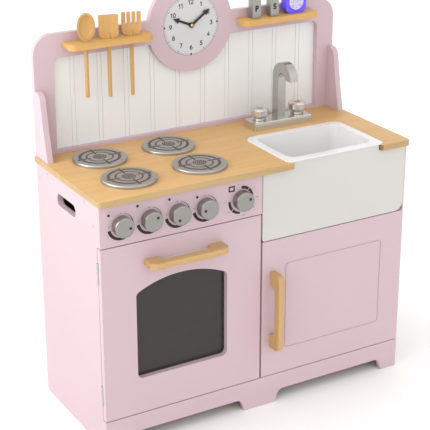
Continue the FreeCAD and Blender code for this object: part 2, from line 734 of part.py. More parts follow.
def pane_screws():
    """Small screws round the edge of the oven's window pane."""
    left, right, bottom, shoulder = window_outline(PANE_LAP / 2)
    points = []
    for z in (bottom + 12, (bottom + shoulder) / 2, shoulder - 12):
        points += [(left, z), (right, z)]
    back = DOOR_BACK + PANE_T
    return [countersunk(V(x, back, z), Y_AXIS * -1, 10.0, 1.1, 2.4) for x, z in points]


# ---- hinges and catches (all drawn for the left side, mirrored for the right) -------------
def knuckle_spans(z, moving):
    """Bottom and top of each knuckle of one leaf."""
    pitch = HINGE_H / KNUCKLE_COUNT
    first = 1 if moving else 0
    spans = []
    for i in range(first, KNUCKLE_COUNT, 2):
        low = z - HINGE_H / 2 + i * pitch + KNUCKLE_CLEAR / 2
        spans.append((low, low + pitch - KNUCKLE_CLEAR))
    return spans


def hinge_leaf(z, moving):
    """Pressed leaf with its knuckles rolled round the pin."""
    width = LEAF_W_DOOR if moving else LEAF_W_FRAME
    sheet_gap = HINGE_GAP / 2 - LEAF_T
    y0 = DOOR_BACK if moving else HINGE_Y + sheet_gap
    y1 = y0 + LEAF_T
    plate_x = -HALF_W + KNUCKLE_R + KNUCKLE_CLEAR + 0.3
    leaf = block(plate_x, plate_x + width, y0, y1, z - HINGE_H / 2, z + HINGE_H / 2)
    for low, high in knuckle_spans(z, moving):
        leaf = leaf.fuse(block(-HALF_W, plate_x, y0, y1, low, high))
        leaf = leaf.fuse(rod(KNUCKLE_R, V(-HALF_W, HINGE_Y, low), Z_AXIS, high - low))
    bore = HINGE_PIN_R + (RUNNING if moving else 0)
    leaf = leaf.cut(rod(bore, V(-HALF_W, HINGE_Y, z - HINGE_H), Z_AXIS, 2 * HINGE_H))
    return leaf.removeSplitter()


def hinge_pin(z):
    return rod(HINGE_PIN_R, V(-HALF_W, HINGE_Y, z - HINGE_H / 2), Z_AXIS, HINGE_H)


def leaf_screws(z, moving):
    """Small screws that hold one leaf."""
    width = LEAF_W_DOOR if moving else LEAF_W_FRAME
    x = -HALF_W + KNUCKLE_R + KNUCKLE_CLEAR + 0.3 + width / 2
    y = DOOR_BACK + LEAF_T if moving else HINGE_Y + HINGE_GAP / 2 - LEAF_T
    direction = Y_AXIS * -1 if moving else Y_AXIS
    length = 9.0 if moving else 12.0
    return [countersunk(V(x, y, z + dz), direction, length, 1.0, 2.0) for dz in (-14.0, 14.0)]


def both_sides(make, left_only=None):
    """Shapes at both hinges of one or both doors; the right-hand ones are mirrored."""
    shapes = []
    for right in (False, True):
        if left_only is not None and left_only == right:
            continue
        for z in hinge_heights(right):
            made = make(z)
            made = made if isinstance(made, list) else [made]
            shapes += [mirrored(s) for s in made] if right else made
    return shapes


CATCH_Z = 250.0
CATCH_H = 34.0


def door_catches():
    """Magnetic catches on the two faces of the divider."""
    catch = block(-BOARD / 2 - 13, -BOARD / 2, FRAME_FRONT, FRAME_FRONT + 15,
                  CATCH_Z - CATCH_H / 2, CATCH_Z + CATCH_H / 2)
    return [catch, mirrored(catch)]


def strike_plate(right):
    x1 = -BOARD / 2 - 1.5
    plate = block(x1 - 11, x1, DOOR_BACK, DOOR_BACK + 1.2, CATCH_Z - 12, CATCH_Z + 12)
    return mirrored(plate) if right else plate


# ---- backsplash ------------------------------------------------------------------------
def clock_disc(y0, y1):
    return rod(DISC_R, V(DISC_X, y0, DISC_Z), Y_AXIS, y1 - y0)


def splash_frame():
    corners = [(-HALF_W, WORKTOP_Z, 0), (HALF_W, WORKTOP_Z, 0),
               (HALF_W, SPLASH_TOP_Z, SPLASH_R), (-HALF_W, SPLASH_TOP_Z, SPLASH_R)]
    board = prism_y(corners, SPLASH_FACE, BACK)
    inner = HALF_W - SPLASH_BORDER
    hole = [(-inner, WORKTOP_Z + SPLASH_FOOT_H, 0), (inner, WORKTOP_Z + SPLASH_FOOT_H, 0),
            (inner, SPLASH_TOP_Z - SPLASH_RAIL, SPLASH_INNER_R),
            (-inner, SPLASH_TOP_Z - SPLASH_RAIL, SPLASH_INNER_R)]
    opening = prism_y(hole, SPLASH_FACE - 1, BACK + 1)
    disc = clock_disc(SPLASH_FACE, BACK)
    return board.cut(opening).fuse(disc).removeSplitter()


def splash_panel():
    """Thin board behind the frame, routed with pairs of upright lines."""
    half = HALF_W - SPLASH_BORDER + PANEL_LAP
    z0 = WORKTOP_Z
    z1 = SPLASH_TOP_Z - SPLASH_RAIL + PANEL_LAP
    panel = block(-half, half, BACK, BACK + BACK_T, z0, z1)
    for i in range(BEAD_COUNT):
        middle = (i - (BEAD_COUNT - 1) / 2) * BEAD_PITCH
        for side in (-BEAD_PAIR / 2, BEAD_PAIR / 2):
            x = middle + side
            groove = block(x - BEAD_W / 2, x + BEAD_W / 2, BACK - 1, BACK + BEAD_DEPTH, z0 - 1, z1 + 1)
            panel = panel.cut(groove)
    return panel


def wing(right):
    """Bracket between the worktop and the frame, with a sloping front and a round shoulder."""
    face = SPLASH_FACE
    top = WORKTOP_Z + WING_H
    corners = [(face, WORKTOP_Z, 0), (face, top, 0), (face - 22, top - 2, 18),
               (face - 34, top - 76, 120), (face - WING_FOOT_D, WORKTOP_Z, 0)]
    shape = prism_x(corners, -HALF_W, -INNER_W)
    return mirrored(shape) if right else shape


def shelf(right):
    x0, x1 = (SHELF_INNER, SHELF_OUTER) if right else (-SHELF_OUTER, -SHELF_INNER)
    y0 = SPLASH_FACE - SHELF_D
    corners = [(x0, y0, SHELF_R), (x1, y0, SHELF_R), (x1, SPLASH_FACE, 0), (x0, SPLASH_FACE, 0)]
    board = prism_z(corners, SHELF_BOTTOM_Z, SHELF_TOP_Z)
    if not right:
        for x in UTENSIL_XS:
            start = V(x, SPLASH_FACE - UTENSIL_SETBACK, SHELF_BOTTOM_Z - 1)
            board = board.cut(rod(DOWEL_R + DOWEL_CLEAR, start, Z_AXIS, BOARD + 2))
    return board


# ---- clock -----------------------------------------------------------------------------
def clock_face():
    face = rod(CLOCK_R, V(DISC_X, SPLASH_FACE - CLOCK_T, DISC_Z), Y_AXIS, CLOCK_T)
    return face.cut(clock_pin())


def hand_y(index):
    """Front face of a hand: 0 is the hour hand, 1 the minute hand in front of it."""
    return SPLASH_FACE - CLOCK_T - (index + 1) * (HAND_GAP + HAND_T)


def clock_pin():
    """Domed rivet through both hands into the disc."""
    head_back = hand_y(1) - HAND_GAP
    head_t = 1.8
    r = CLOCK_PIN_HEAD_R
    length = SPLASH_FACE + 8 - head_back
    profile = [(0, -head_t), (r * 0.7, -head_t * 0.8), (r, 0), (CLOCK_PIN_R, 0), (CLOCK_PIN_R, length), (0, length)]
    return turned(profile, V(DISC_X, head_back, DISC_Z), Y_AXIS)


def clock_hand(index):
    """Flat hand with an arrow tip, turned to its stored angle."""
    y0 = hand_y(index)
    w = HAND_W / 2
    length = HOUR_L if index == 0 else MINUTE_L
    neck = length - HAND_TIP_L
    corners = [(-w, 0, 0), (w, 0, 0), (w * 0.8, neck, 0), (HAND_TIP_W / 2, neck, 0), (0, length, 0),
               (-HAND_TIP_W / 2, neck, 0), (-w * 0.8, neck, 0)]
    blade = prism_y(corners, y0, y0 + HAND_T)
    hub = rod(HAND_HUB_R, V(0, y0, 0), Y_AXIS, HAND_T)
    hand = blade.fuse(hub).removeSplitter()
    hand = hand.cut(rod(CLOCK_PIN_R + RUNNING, V(0, y0 - 1, 0), Y_AXIS, HAND_T + 2))
    angle = HOUR_ANGLE if index == 0 else MINUTE_ANGLE
    hand.rotate(V(0, 0, 0), Y_AXIS, angle)
    hand.translate(V(DISC_X, 0, DISC_Z))
    return hand


# ---- utensils, shakers and timer -----------------------------------------------------------
def utensil_handle(index, head_bottom):
    x = UTENSIL_XS[index]
    y = SPLASH_FACE - UTENSIL_SETBACK
    low = UTENSIL_ENDS_Z[index]
    stick = rod(DOWEL_R, V(x, y, low), Z_AXIS, head_bottom - low)
    return soft_edges(stick, 1.2, lambda e, p: len(e.Vertexes) == 1 and abs(p.z - low) < 0.01)


def ellipsoid(centre, half_x, half_y, half_z):
    size = FreeCAD.Matrix()
    size.scale(half_x, half_y, half_z)
    ball = Part.makeSphere(1.0).transformGeometry(size)
    ball.translate(centre)
    return ball


def spoon():
    """Half an egg shape with a flat front, hollowed out, on its handle."""
    x = UTENSIL_XS[0]
    y = SPLASH_FACE - UTENSIL_SETBACK
    low = SHELF_TOP_Z + REST_GAP
    front = V(x, y - DOWEL_R, low + SPOON_HALF_H)
    bowl = ellipsoid(front, SPOON_HALF_W, SPOON_T, SPOON_HALF_H)
    keep = block(x - 2 * SPOON_HALF_W, x + 2 * SPOON_HALF_W, front.y, front.y + 2 * SPOON_T,
                 low - 1, low + 2 * SPOON_HALF_H + 1)
    hollow = ellipsoid(front, SPOON_HALF_W - SPOON_RIM, SPOON_T - SPOON_FLOOR, SPOON_HALF_H - SPOON_RIM)
    handle = utensil_handle(0, low + SPOON_RIM)
    return bowl.common(keep).fuse(handle).cut(hollow)


def blade_head(index, corner_r):
    x = UTENSIL_XS[index]
    y = SPLASH_FACE - UTENSIL_SETBACK
    low = SHELF_TOP_Z + REST_GAP
    half = BLADE_W / 2
    corners = [(x - half, low, corner_r), (x + half, low, corner_r),
               (x + half, low + BLADE_H, 1.5), (x - half, low + BLADE_H, 1.5)]
    head = prism_y(corners, y - BLADE_T / 2, y + BLADE_T / 2)
    return head.fuse(utensil_handle(index, low + 10)).removeSplitter()


def hung_turned(utensil, index):
    """Turned about its own handle, as it hangs."""
    utensil.rotate(V(UTENSIL_XS[index], SPLASH_FACE - UTENSIL_SETBACK, 0), Z_AXIS, UTENSIL_TURN)
    return utensil


def spatula():
    return hung_turned(blade_head(1, 10.0), 1)


def fork():
    head = blade_head(2, 13.0)
    y = SPLASH_FACE - UTENSIL_SETBACK
    top = SHELF_TOP_Z + REST_GAP + BLADE_H
    for i in (-1, 0, 1):
        x = UTENSIL_XS[2] + i * TINE_SLOT_PITCH
        w = TINE_SLOT_W / 2
        corners = [(x - w, top - TINE_SLOT_L, w * 0.98), (x + w, top - TINE_SLOT_L, w * 0.98),
                   (x + w, top + 2, 0), (x - w, top + 2, 0)]
        head = head.cut(prism_y(corners, y - 10, y + 10))
    return hung_turned(head, 2)


def shaker(index):
    x = SHAKER_XS[index]
    y = SPLASH_FACE - SHELF_ITEM_Y + (SHELF_ITEM_Y - SHAKER_D / 2 - 1)
    z0 = SHELF_TOP_Z + REST_GAP
    box = block(x - SHAKER_W / 2, x + SHAKER_W / 2, y - SHAKER_D, y, z0, z0 + SHAKER_H)
    top_edges = [e for e in box.Edges if abs(e.CenterOfMass.z - z0 - SHAKER_H) < 0.01]
    return box.makeChamfer(3.0, top_edges)


def timer_y():
    return SPLASH_FACE - SHELF_ITEM_Y - TIMER_D / 2


def timer_body():
    z0 = SHELF_TOP_Z + REST_GAP
    corners = rect(TIMER_X - TIMER_W / 2, TIMER_X + TIMER_W / 2, z0, z0 + TIMER_H, TIMER_R)
    body = prism_y(corners, timer_y(), timer_y() + TIMER_D)
    return body.cut(timer_dial())


def timer_dial():
    centre = V(TIMER_X, timer_y() - TIMER_DIAL_T / 2, SHELF_TOP_Z + REST_GAP + TIMER_H / 2)
    return rod(TIMER_DIAL_R, centre, Y_AXIS, TIMER_DIAL_T)


# ---- screws of the fixed structure ----------------------------------------------------------
def case_screws():
    """Countersunk screws that show on the outer faces of the sides."""
    rail_y = BACK_RAIL_Y + BOARD / 2
    shelf_z = OVEN_SHELF_Z + BOARD / 2
    base_z = BASE_Z + BOARD / 2
    cleat_z = CASE_TOP - CLEAT / 2
    shared = [(rail_y, BACK_RAIL_Z[1] - 18), (rail_y, BACK_RAIL_Z[0] + 15),
              (FRONT + 235, cleat_z - 2), (FRONT + 63, cleat_z - 2), (FRONT + 235, base_z), (FRONT + 64, base_z)]
    left_only = [(DOOR_BACK + CLEAT, KNOB_Z - 3), (FRONT + 235, shelf_z), (FRONT + 64, shelf_z)]
    right_only = [(FRAME_FRONT + BOARD / 2, APRON_BOTTOM_Z + SEAM + APRON_RAIL_H / 2)]
    length = BOARD + CLEAT - 3
    screws = [countersunk(V(-HALF_W, y, z), X_AXIS, length) for y, z in shared + left_only]
    screws += [mirrored(countersunk(V(-HALF_W, y, z), X_AXIS, length)) for y, z in shared + right_only]
    return screws


def back_screws():
    """Screws from behind: the two back boards, the frame into the shelves and the wings."""
    spots = []
    for x in (-HALF_W + BOARD / 2, 0.0, HALF_W - BOARD / 2):
        for z in (PLINTH_H + 10, (PLINTH_H + CASE_TOP) / 2, CASE_TOP - 8):
            spots.append((x, z, BACK + BACK_T, 20.0))
    lap = HALF_W - SPLASH_BORDER + PANEL_LAP / 2
    for x in (-lap, lap):
        for z in (WORKTOP_Z + 30, (WORKTOP_Z + SPLASH_TOP_Z) / 2, SPLASH_TOP_Z - SPLASH_RAIL + 10):
            spots.append((x, z, BACK + BACK_T, 14.0))
    shelf_z = SHELF_TOP_Z - BOARD / 2
    for x in (SHELF_INNER + 25, SHELF_OUTER - 25):
        for side in (-1, 1):
            spots.append((side * x, shelf_z, BACK, SCREW_L))
    for z in (WORKTOP_Z + 25, WORKTOP_Z + WING_H - 45):
        for side in (-1, 1):
            spots.append((side * (HALF_W - BOARD / 2), z, BACK, SCREW_L))
    return [countersunk(V(x, y, z), Y_AXIS * -1, length) for x, z, y, length in spots]


# ---- build -----------------------------------------------------------------------------
def main():
    os.makedirs("parts", exist_ok=True)
    structure_screws = case_screws() + back_screws()
    frame_hinge_screws = both_sides(lambda z: leaf_screws(z, False))
    parts = {
        "side_left": side_panel(False),
        "side_right": side_panel(True),
        "divider": divider(),
        "base_panel": base_panel(),
        "plinth": plinth(),
        "control_panel": control_panel(),
        "sink_apron": sink_apron(),
        "apron_rail": apron_rail(),
        "back_panel": back_panel(),
        "back_rail": back_rail(),
        "cleats": cleats() + apron_packers(),
        "oven_shelf": oven_shelf(),
        "worktop": worktop(),
        "worktop_edging": worktop_edging(),
        "hob_rings": hob_rings(),
        "tap_base": tap_base(),
        "tap_spout": tap_spout(),
        "tap_pins": tap_pins(),
        "splash_frame": splash_frame(),
        "splash_panel": splash_panel(),
        "wing_left": wing(False),
        "wing_right": wing(True),
        "shelf_left": shelf(False),
        "shelf_right": shelf(True),
        "clock_face": clock_face(),
        "clock_pin": clock_pin(),
        "knob_pins": knob_pins(),
        "structure_screws": structure_screws + frame_hinge_screws,
        "hinge_leaves_frame": both_sides(lambda z: hinge_leaf(z, False)),
        "hinge_pins": both_sides(hinge_pin),
        "door_catches": door_catches(),
        "oven_door": oven_door(),
        "oven_window": oven_window(),
        "oven_handle": oven_handle(),
        "oven_hinge_leaves": both_sides(lambda z: hinge_leaf(z, True), True),
        "oven_strike": strike_plate(False),
        "cupboard_door": cupboard_door(),
        "cupboard_handle": cupboard_handle(),
        "cupboard_hinge_leaves": both_sides(lambda z: hinge_leaf(z, True), False),
        "cupboard_strike": strike_plate(True),
        "sink_tub": sink_tub(),
        "tap_cold": tap(0),
        "tap_hot": tap(1),
        "hour_hand": clock_hand(0),
        "minute_hand": clock_hand(1),
        "spoon": spoon(),
        "spatula": spatula(),
        "fork": fork(),
        "shaker_left": shaker(0),
        "shaker_right": shaker(1),
        "timer_body": timer_body(),
        "timer_dial": timer_dial(),
    }
    for i in range(len(KNOB_XS)):
        parts["knob_%d" % (i + 1)] = control_knob(i)

    oven_screws = handle_screws(False) + pane_screws() + both_sides(lambda z: leaf_screws(z, True), True)
    cupboard_screws = handle_screws(True) + both_sides(lambda z: leaf_screws(z, True), False)
    parts["oven_door_screws"] = oven_screws
    parts["cupboard_door_screws"] = cupboard_screws

    # every screw and pin sits in a hole of its own size in what it holds
    held_by_structure = (
        "side_left", "side_right", "divider", "base_panel", "back_panel", "back_rail", "cleats",
        "oven_shelf", "apron_rail", "splash_frame", "splash_panel", "wing_left", "wing_right",
        "shelf_left", "shelf_right",
    )
    held = [(name, structure_screws) for name in held_by_structure]
    held += [(name, frame_hinge_screws) for name in ("side_left", "side_right", "hinge_leaves_frame")]
    held += [(name, oven_screws) for name in ("oven_door", "oven_window", "oven_handle", "oven_hinge_leaves")]
    held += [(name, cupboard_screws) for name in ("cupboard_door", "cupboard_handle", "cupboard_hinge_leaves")]
    held += [("control_panel", parts["knob_pins"]), ("splash_frame", [parts["clock_pin"]])]
    for name, fasteners in held:
        parts[name] = drilled(parts[name], fasteners)

    for name, made in parts.items():
        shape = Part.makeCompound(made) if isinstance(made, list) else made
        shape.exportStep("parts/%s.step" % name)


def drilled(made, fasteners):
    """A piece, or each piece of a list, with a hole for every fastener that reaches it."""
    if isinstance(made, list):
        return [drilled(piece, fasteners) for piece in made]
    near = [f for f in fasteners if made.BoundBox.intersect(f.BoundBox)]
    return cut_all(made, near)


main()
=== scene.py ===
"""Looks of the toy kitchen: paint, timber, silver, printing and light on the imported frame."""

import math

import bmesh
import bpy
from bpy.props import FloatProperty, FloatVectorProperty, IntProperty, PointerProperty
from mathutils import Matrix, Vector


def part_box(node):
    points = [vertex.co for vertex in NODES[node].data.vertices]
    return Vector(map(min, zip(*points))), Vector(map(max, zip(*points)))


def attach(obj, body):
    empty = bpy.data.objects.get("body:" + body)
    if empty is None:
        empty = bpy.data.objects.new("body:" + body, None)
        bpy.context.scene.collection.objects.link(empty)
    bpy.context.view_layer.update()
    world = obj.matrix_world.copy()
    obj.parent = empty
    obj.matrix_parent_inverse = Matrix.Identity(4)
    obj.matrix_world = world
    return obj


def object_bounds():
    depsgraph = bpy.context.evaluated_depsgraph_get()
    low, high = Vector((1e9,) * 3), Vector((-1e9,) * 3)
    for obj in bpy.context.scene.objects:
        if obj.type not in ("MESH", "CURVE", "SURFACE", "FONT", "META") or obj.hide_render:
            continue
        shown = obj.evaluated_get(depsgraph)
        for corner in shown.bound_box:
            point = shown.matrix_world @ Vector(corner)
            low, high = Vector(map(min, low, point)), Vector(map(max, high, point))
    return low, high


bl_info = {
    "name": "Toy Kitchen",
    "version": (1, 0, 0),
    "blender": (4, 5, 0),
    "location": "View3D > Sidebar > Toy Kitchen",
    "description": "Paints, prints and lights a wooden toy kitchen",
    "category": "Object",
}

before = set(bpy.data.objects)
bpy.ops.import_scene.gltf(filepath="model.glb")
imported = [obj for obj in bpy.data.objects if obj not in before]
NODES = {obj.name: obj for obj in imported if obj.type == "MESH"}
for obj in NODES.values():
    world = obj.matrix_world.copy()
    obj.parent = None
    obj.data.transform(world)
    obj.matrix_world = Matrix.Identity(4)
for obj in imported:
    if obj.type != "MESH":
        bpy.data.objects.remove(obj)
CAD_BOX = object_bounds()

MM = 0.001
INK_LIFT = 0.12 * MM       # printed marks stand this far off what they are printed on


# ---- shader maths ---------------------------------------------------------------------
class Amount:
    """A number that varies from place to place; arithmetic on it adds Math nodes."""

    def __init__(self, nodes, socket):
        self.nodes = nodes
        self.socket = socket

    def __add__(self, other):
        return self.nodes.math("ADD", self, other)

    __radd__ = __add__

    def __rsub__(self, other):
        return self.nodes.math("SUBTRACT", other, self)

    def __mul__(self, other):
        return self.nodes.math("MULTIPLY", self, other)

    __rmul__ = __mul__

    def over(self, low, high):
        """0 below low, 1 above high, smooth between."""
        node = self.nodes.node(
            "ShaderNodeMapRange", {"interpolation_type": "SMOOTHSTEP"},
            {"Value": self, "From Min": low, "From Max": high})
        return Amount(self.nodes, node.outputs["Result"])


class NodeTree:
    """Makes the nodes of one tree and links them."""

    def __init__(self, tree):
        self.tree = tree

    def feed(self, socket, value):
        if isinstance(value, Amount):
            value = value.socket
        if isinstance(value, bpy.types.NodeSocket):
            self.tree.links.new(value, socket)
        else:
            socket.default_value = value

    def node(self, kind, settings=None, inputs=None):
        """A shader node with its settings made first and its sockets fed after."""
        made = self.tree.nodes.new(kind)
        for name, value in (settings or {}).items():
            setattr(made, name, value)
        for name, value in (inputs or {}).items():
            self.feed(made.inputs[name], value)
        return made

    def math(self, operation, first, second=0.0):
        made = self.node("ShaderNodeMath", {"operation": operation}, {0: first, 1: second})
        return Amount(self, made.outputs[0])


class Finish(NodeTree):
    """One procedural material, built from its shader outwards."""

    def __init__(self, name, **constants):
        self.material = bpy.data.materials.new(name)
        self.material.use_nodes = True
        super().__init__(self.material.node_tree)
        self.tree.nodes.clear()
        self.shader = self.node("ShaderNodeBsdfPrincipled")
        self.node("ShaderNodeOutputMaterial", None, {"Surface": self.shader.outputs[0]})
        for socket, value in constants.items():
            self.shader.inputs[socket.replace("_", " ")].default_value = value
        self.place = self.node("ShaderNodeTexCoord").outputs

    def where(self, stretch=(1.0, 1.0, 1.0), shift=(0.0, 0.0, 0.0)):
        """Position on the piece, in metres, stretched along each axis."""
        moved = self.node("ShaderNodeVectorMath", {"operation": "MULTIPLY_ADD"},
                          {0: self.place["Object"], 1: stretch, 2: shift})
        return moved.outputs[0]

    def axis(self, source, index):
        """One coordinate of a vector socket."""
        return Amount(self, self.node("ShaderNodeSeparateXYZ", None, {0: source}).outputs[index])

    def noise(self, stretch, detail=2.0, roughness=0.5, shift=(0.0, 0.0, 0.0), distortion=0.0):
        made = self.node("ShaderNodeTexNoise", None, {
            "Vector": self.where(stretch, shift), "Scale": 1.0, "Detail": detail,
            "Roughness": roughness, "Distortion": distortion})
        return Amount(self, made.outputs["Fac"])

    def mix(self, share, first, second):
        made = self.node("ShaderNodeMix", {"data_type": "RGBA"}, {0: share, 6: first, 7: second})
        return made.outputs[2]

    def colour(self, value):
        self.feed(self.shader.inputs["Base Color"], value)

    def roughness(self, value):
        self.feed(self.shader.inputs["Roughness"], value)

    def relief(self, height, depth):
        """Surface relief, depth in metres."""
        made = self.node("ShaderNodeBump", None, {"Strength": 1.0, "Distance": depth, "Height": height})
        self.feed(self.shader.inputs["Normal"], made.outputs[0])


def rgba(colour, factor=1.0):
    return tuple(c * factor for c in colour[:3]) + (1.0,)


# ---- finishes ---------------------------------------------------------------------------
SHELF_TINT = (1.15, 1.09, 0.83)
UTENSIL_TINT = (1.10, 0.95, 0.66)
# Factors on the one silver lacquer, part by part: painted light and shade. The silver is made lighter on the taps,
# where it looked lit, and darker on the hob, spout, knobs and shakers, where it looked shaded.
HOB_SILVER_PAINTED_SHADE = 0.82
TAP_SILVER_PAINTED_LIGHT = 1.31
SPOUT_SILVER_PAINTED_SHADE = 0.92
KNOB_SILVER_PAINTED_SHADE = 0.62
SHAKER_SILVER_PAINTED_SHADE = 0.71


def tinted(colour, share):
    """A colour scaled by one factor, or by one for each channel."""
    shares = share if isinstance(share, tuple) else (share,) * 3
    return [c * k for c, k in zip(colour, shares)]


def board_paint(name, colour, gloss, peel):
    """Sprayed satin paint on fibreboard: faint clouding, fine orange peel, a duller patch here and there."""
    paint = Finish(name, Specular_IOR_Level=0.45, Coat_Roughness=0.25)
    cloud = paint.noise((2.2, 2.2, 2.2), 3.0)
    speck = paint.noise((420.0, 420.0, 420.0), 2.0, 0.6)
    paint.colour(paint.mix(cloud.over(0.3, 0.7), rgba(colour, 0.975), rgba(colour, 1.02)))
    paint.roughness(gloss + 0.07 * cloud + 0.05 * speck)
    skin = paint.noise((260.0, 260.0, 260.0), 2.0, 0.45)
    paint.relief(skin + 0.35 * speck, peel)
    return paint.material


def timber(name, light, dark, along, gloss, pores=1.0, relief=0.05 * MM):
    """Straight-grained pale wood; along is the axis the grain runs on."""
    wood = Finish(name, Specular_IOR_Level=0.4)

    def lay(run, across):
        return tuple(run if i == along else across for i in range(3))

    drift = wood.noise(lay(1.5, 9.0), 3.0, 0.5, distortion=0.4)
    band = wood.noise(lay(3.0, 60.0), 4.0, 0.62, (3.1, 1.7, 5.3), 0.6)
    fibre = wood.noise(lay(22.0, 620.0), 3.0, 0.6, (1.0, 4.0, 2.0))
    fleck = wood.noise(lay(95.0, 1300.0), 1.0, 0.5, (7.0, 2.0, 9.0)).over(0.62, 0.72)
    tone = 0.45 * drift.over(0.25, 0.75) + 0.55 * band.over(0.3, 0.72)
    body = wood.mix(tone, rgba(light), rgba(dark))
    body = wood.mix(0.22 * fibre.over(0.45, 0.75), body, rgba(dark, 0.72))
    body = wood.mix(0.35 * pores * fleck, body, rgba(dark, 0.5))
    wood.colour(body)
    wood.roughness(gloss + 0.12 * fibre + 0.06 * band)
    wood.relief(0.6 * fibre + 0.8 * (1.0 - fleck), relief)
    return wood.material, wood


def silver_paint(name, colour, gloss, metallic=0.85):
    """Silver lacquer: fine flake in the colour and in the gloss."""
    silver = Finish(name, Metallic=metallic, Specular_IOR_Level=0.5)
    flake = silver.noise((1500.0, 1500.0, 1500.0), 1.0, 0.5)
    cloud = silver.noise((14.0, 14.0, 14.0), 3.0)
    tone = 0.6 * flake.over(0.35, 0.7) + 0.4 * cloud
    silver.colour(silver.mix(tone, rgba(colour, 0.93), rgba(colour, 1.07)))
    silver.roughness(gloss + 0.10 * flake + 0.06 * cloud)
    silver.relief(silver.noise((500.0, 500.0, 500.0), 2.0) + 0.5 * flake, 0.03 * MM)
    return silver.material


def ink(name, colour, gloss=0.5):
    """Screen-printed ink, a little uneven at its pinholes."""
    layer = Finish(name, Specular_IOR_Level=0.35)
    grain = layer.noise((900.0, 900.0, 900.0), 2.0, 0.6)
    layer.colour(layer.mix(0.5 * grain, rgba(colour), rgba([c * 1.25 + 0.01 for c in colour])))
    layer.roughness(gloss + 0.15 * grain)
    layer.relief(grain, 0.01 * MM)
    return layer.material


def moulded(name, colour, gloss, ripple=0.02 * MM, **constants):
    """Moulded or sheet plastic with a faint flow in its gloss."""
    plastic = Finish(name, **constants)
    flow = plastic.noise((12.0, 12.0, 12.0), 3.0)
    fine = plastic.noise((700.0, 700.0, 700.0), 2.0)
    plastic.colour(plastic.mix(flow, rgba(colour, 0.98), rgba(colour, 1.02)))
    plastic.roughness(gloss + 0.05 * flow + 0.04 * fine)
    plastic.relief(fine + 2.0 * flow, ripple)
    return plastic.material


def plated(name, colour, gloss):
    """Plated steel or brass, brushed faintly and a little dulled."""
    metal = Finish(name, Metallic=1.0)
    brushed = metal.noise((60.0, 900.0, 900.0), 3.0, 0.6)
    dull = metal.noise((90.0, 90.0, 90.0), 3.0)
    metal.colour(metal.mix(dull, rgba(colour, 0.88), rgba(colour, 1.08)))
    metal.roughness(gloss + 0.15 * dull + 0.10 * brushed)
    metal.relief(brushed, 0.01 * MM)
    return metal.material


# ---- shape helpers ------------------------------------------------------------------------
EASED_ANGLE = math.radians(35.0)
WELD_REACH = 0.004 * MM


def dress(names, material, soften=0.0, steps=3):
    """Gives CAD nodes a material and eases their sharp edges by soften metres."""
    for name in names:
        node = NODES[name]
        node.data.materials.clear()
        node.data.materials.append(material)
        if soften > 0:
            weld = node.modifiers.new("weld", "WELD")
            weld.merge_threshold = WELD_REACH
            ease = node.modifiers.new("ease", "BEVEL")
            ease.width = soften
            ease.segments = steps
            ease.limit_method = "ANGLE"
            ease.angle_limit = EASED_ANGLE
            ease.harden_normals = False
            level = node.modifiers.new("level", "WEIGHTED_NORMAL")
            level.keep_sharp = True


def add_piece(name, mesh, body, place=None):
    """Puts an extra piece in the scene, riding on a body."""
    piece = bpy.data.objects.new(name, mesh)
    if place is not None:
        piece.matrix_world = place
    bpy.context.scene.collection.objects.link(piece)
    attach(piece, body)
    return piece


def sweep(cx, cy, rx, ry, start, end, steps=18):
    """Points round an ellipse, in degrees from the right, anticlockwise."""
    turn = [math.radians(start + (end - start) * i / steps) for i in range(steps + 1)]
    return [(cx + rx * math.cos(a), cy + ry * math.sin(a)) for a in turn]


FIGURES = {
    "0": [sweep(0.29, 0.5, 0.29, 0.5, 90, 450, 28)],
    "1": [[(0.0, 0.78), (0.26, 1.0), (0.26, 0.0)]],
    "2": [sweep(0.29, 0.71, 0.28, 0.29, 165, -40) + [(0.0, 0.0), (0.58, 0.0)]],
    "3": [sweep(0.27, 0.755, 0.25, 0.245, 150, -90), sweep(0.26, 0.255, 0.30, 0.255, 90, -150)],
    "4": [[(0.44, 0.0), (0.44, 1.0), (0.0, 0.30), (0.60, 0.30)]],
    "5": [[(0.52, 1.0), (0.12, 1.0), (0.07, 0.55)] + sweep(0.27, 0.32, 0.29, 0.32, 128, -150)],
    "6": [sweep(0.29, 0.30, 0.29, 0.30, 0, 360, 24), sweep(0.62, 0.30, 0.62, 0.72, 180, 105, 12)],
    "7": [[(0.0, 1.0), (0.56, 1.0), (0.18, 0.0)]],
    "8": [sweep(0.28, 0.765, 0.22, 0.235, 0, 360, 22), sweep(0.28, 0.27, 0.28, 0.27, 0, 360, 24)],
    "9": [sweep(0.29, 0.70, 0.29, 0.30, 0, 360, 24), sweep(-0.04, 0.70, 0.62, 0.72, 0, -75, 12)],
    "P": [[(0.06, 0.0), (0.06, 1.0), (0.32, 1.0)] + sweep(0.32, 0.74, 0.26, 0.26, 90, -90, 12) + [(0.06, 0.48)]],
    "S": [sweep(0.30, 0.75, 0.26, 0.25, 35, 270, 14) + sweep(0.30, 0.25, 0.27, 0.25, 90, -145, 16)],
}


FRONT_FACE = ((1, 0, 0), (0, 0, 1))
TOP_FACE = ((1, 0, 0), (0, 1, 0))


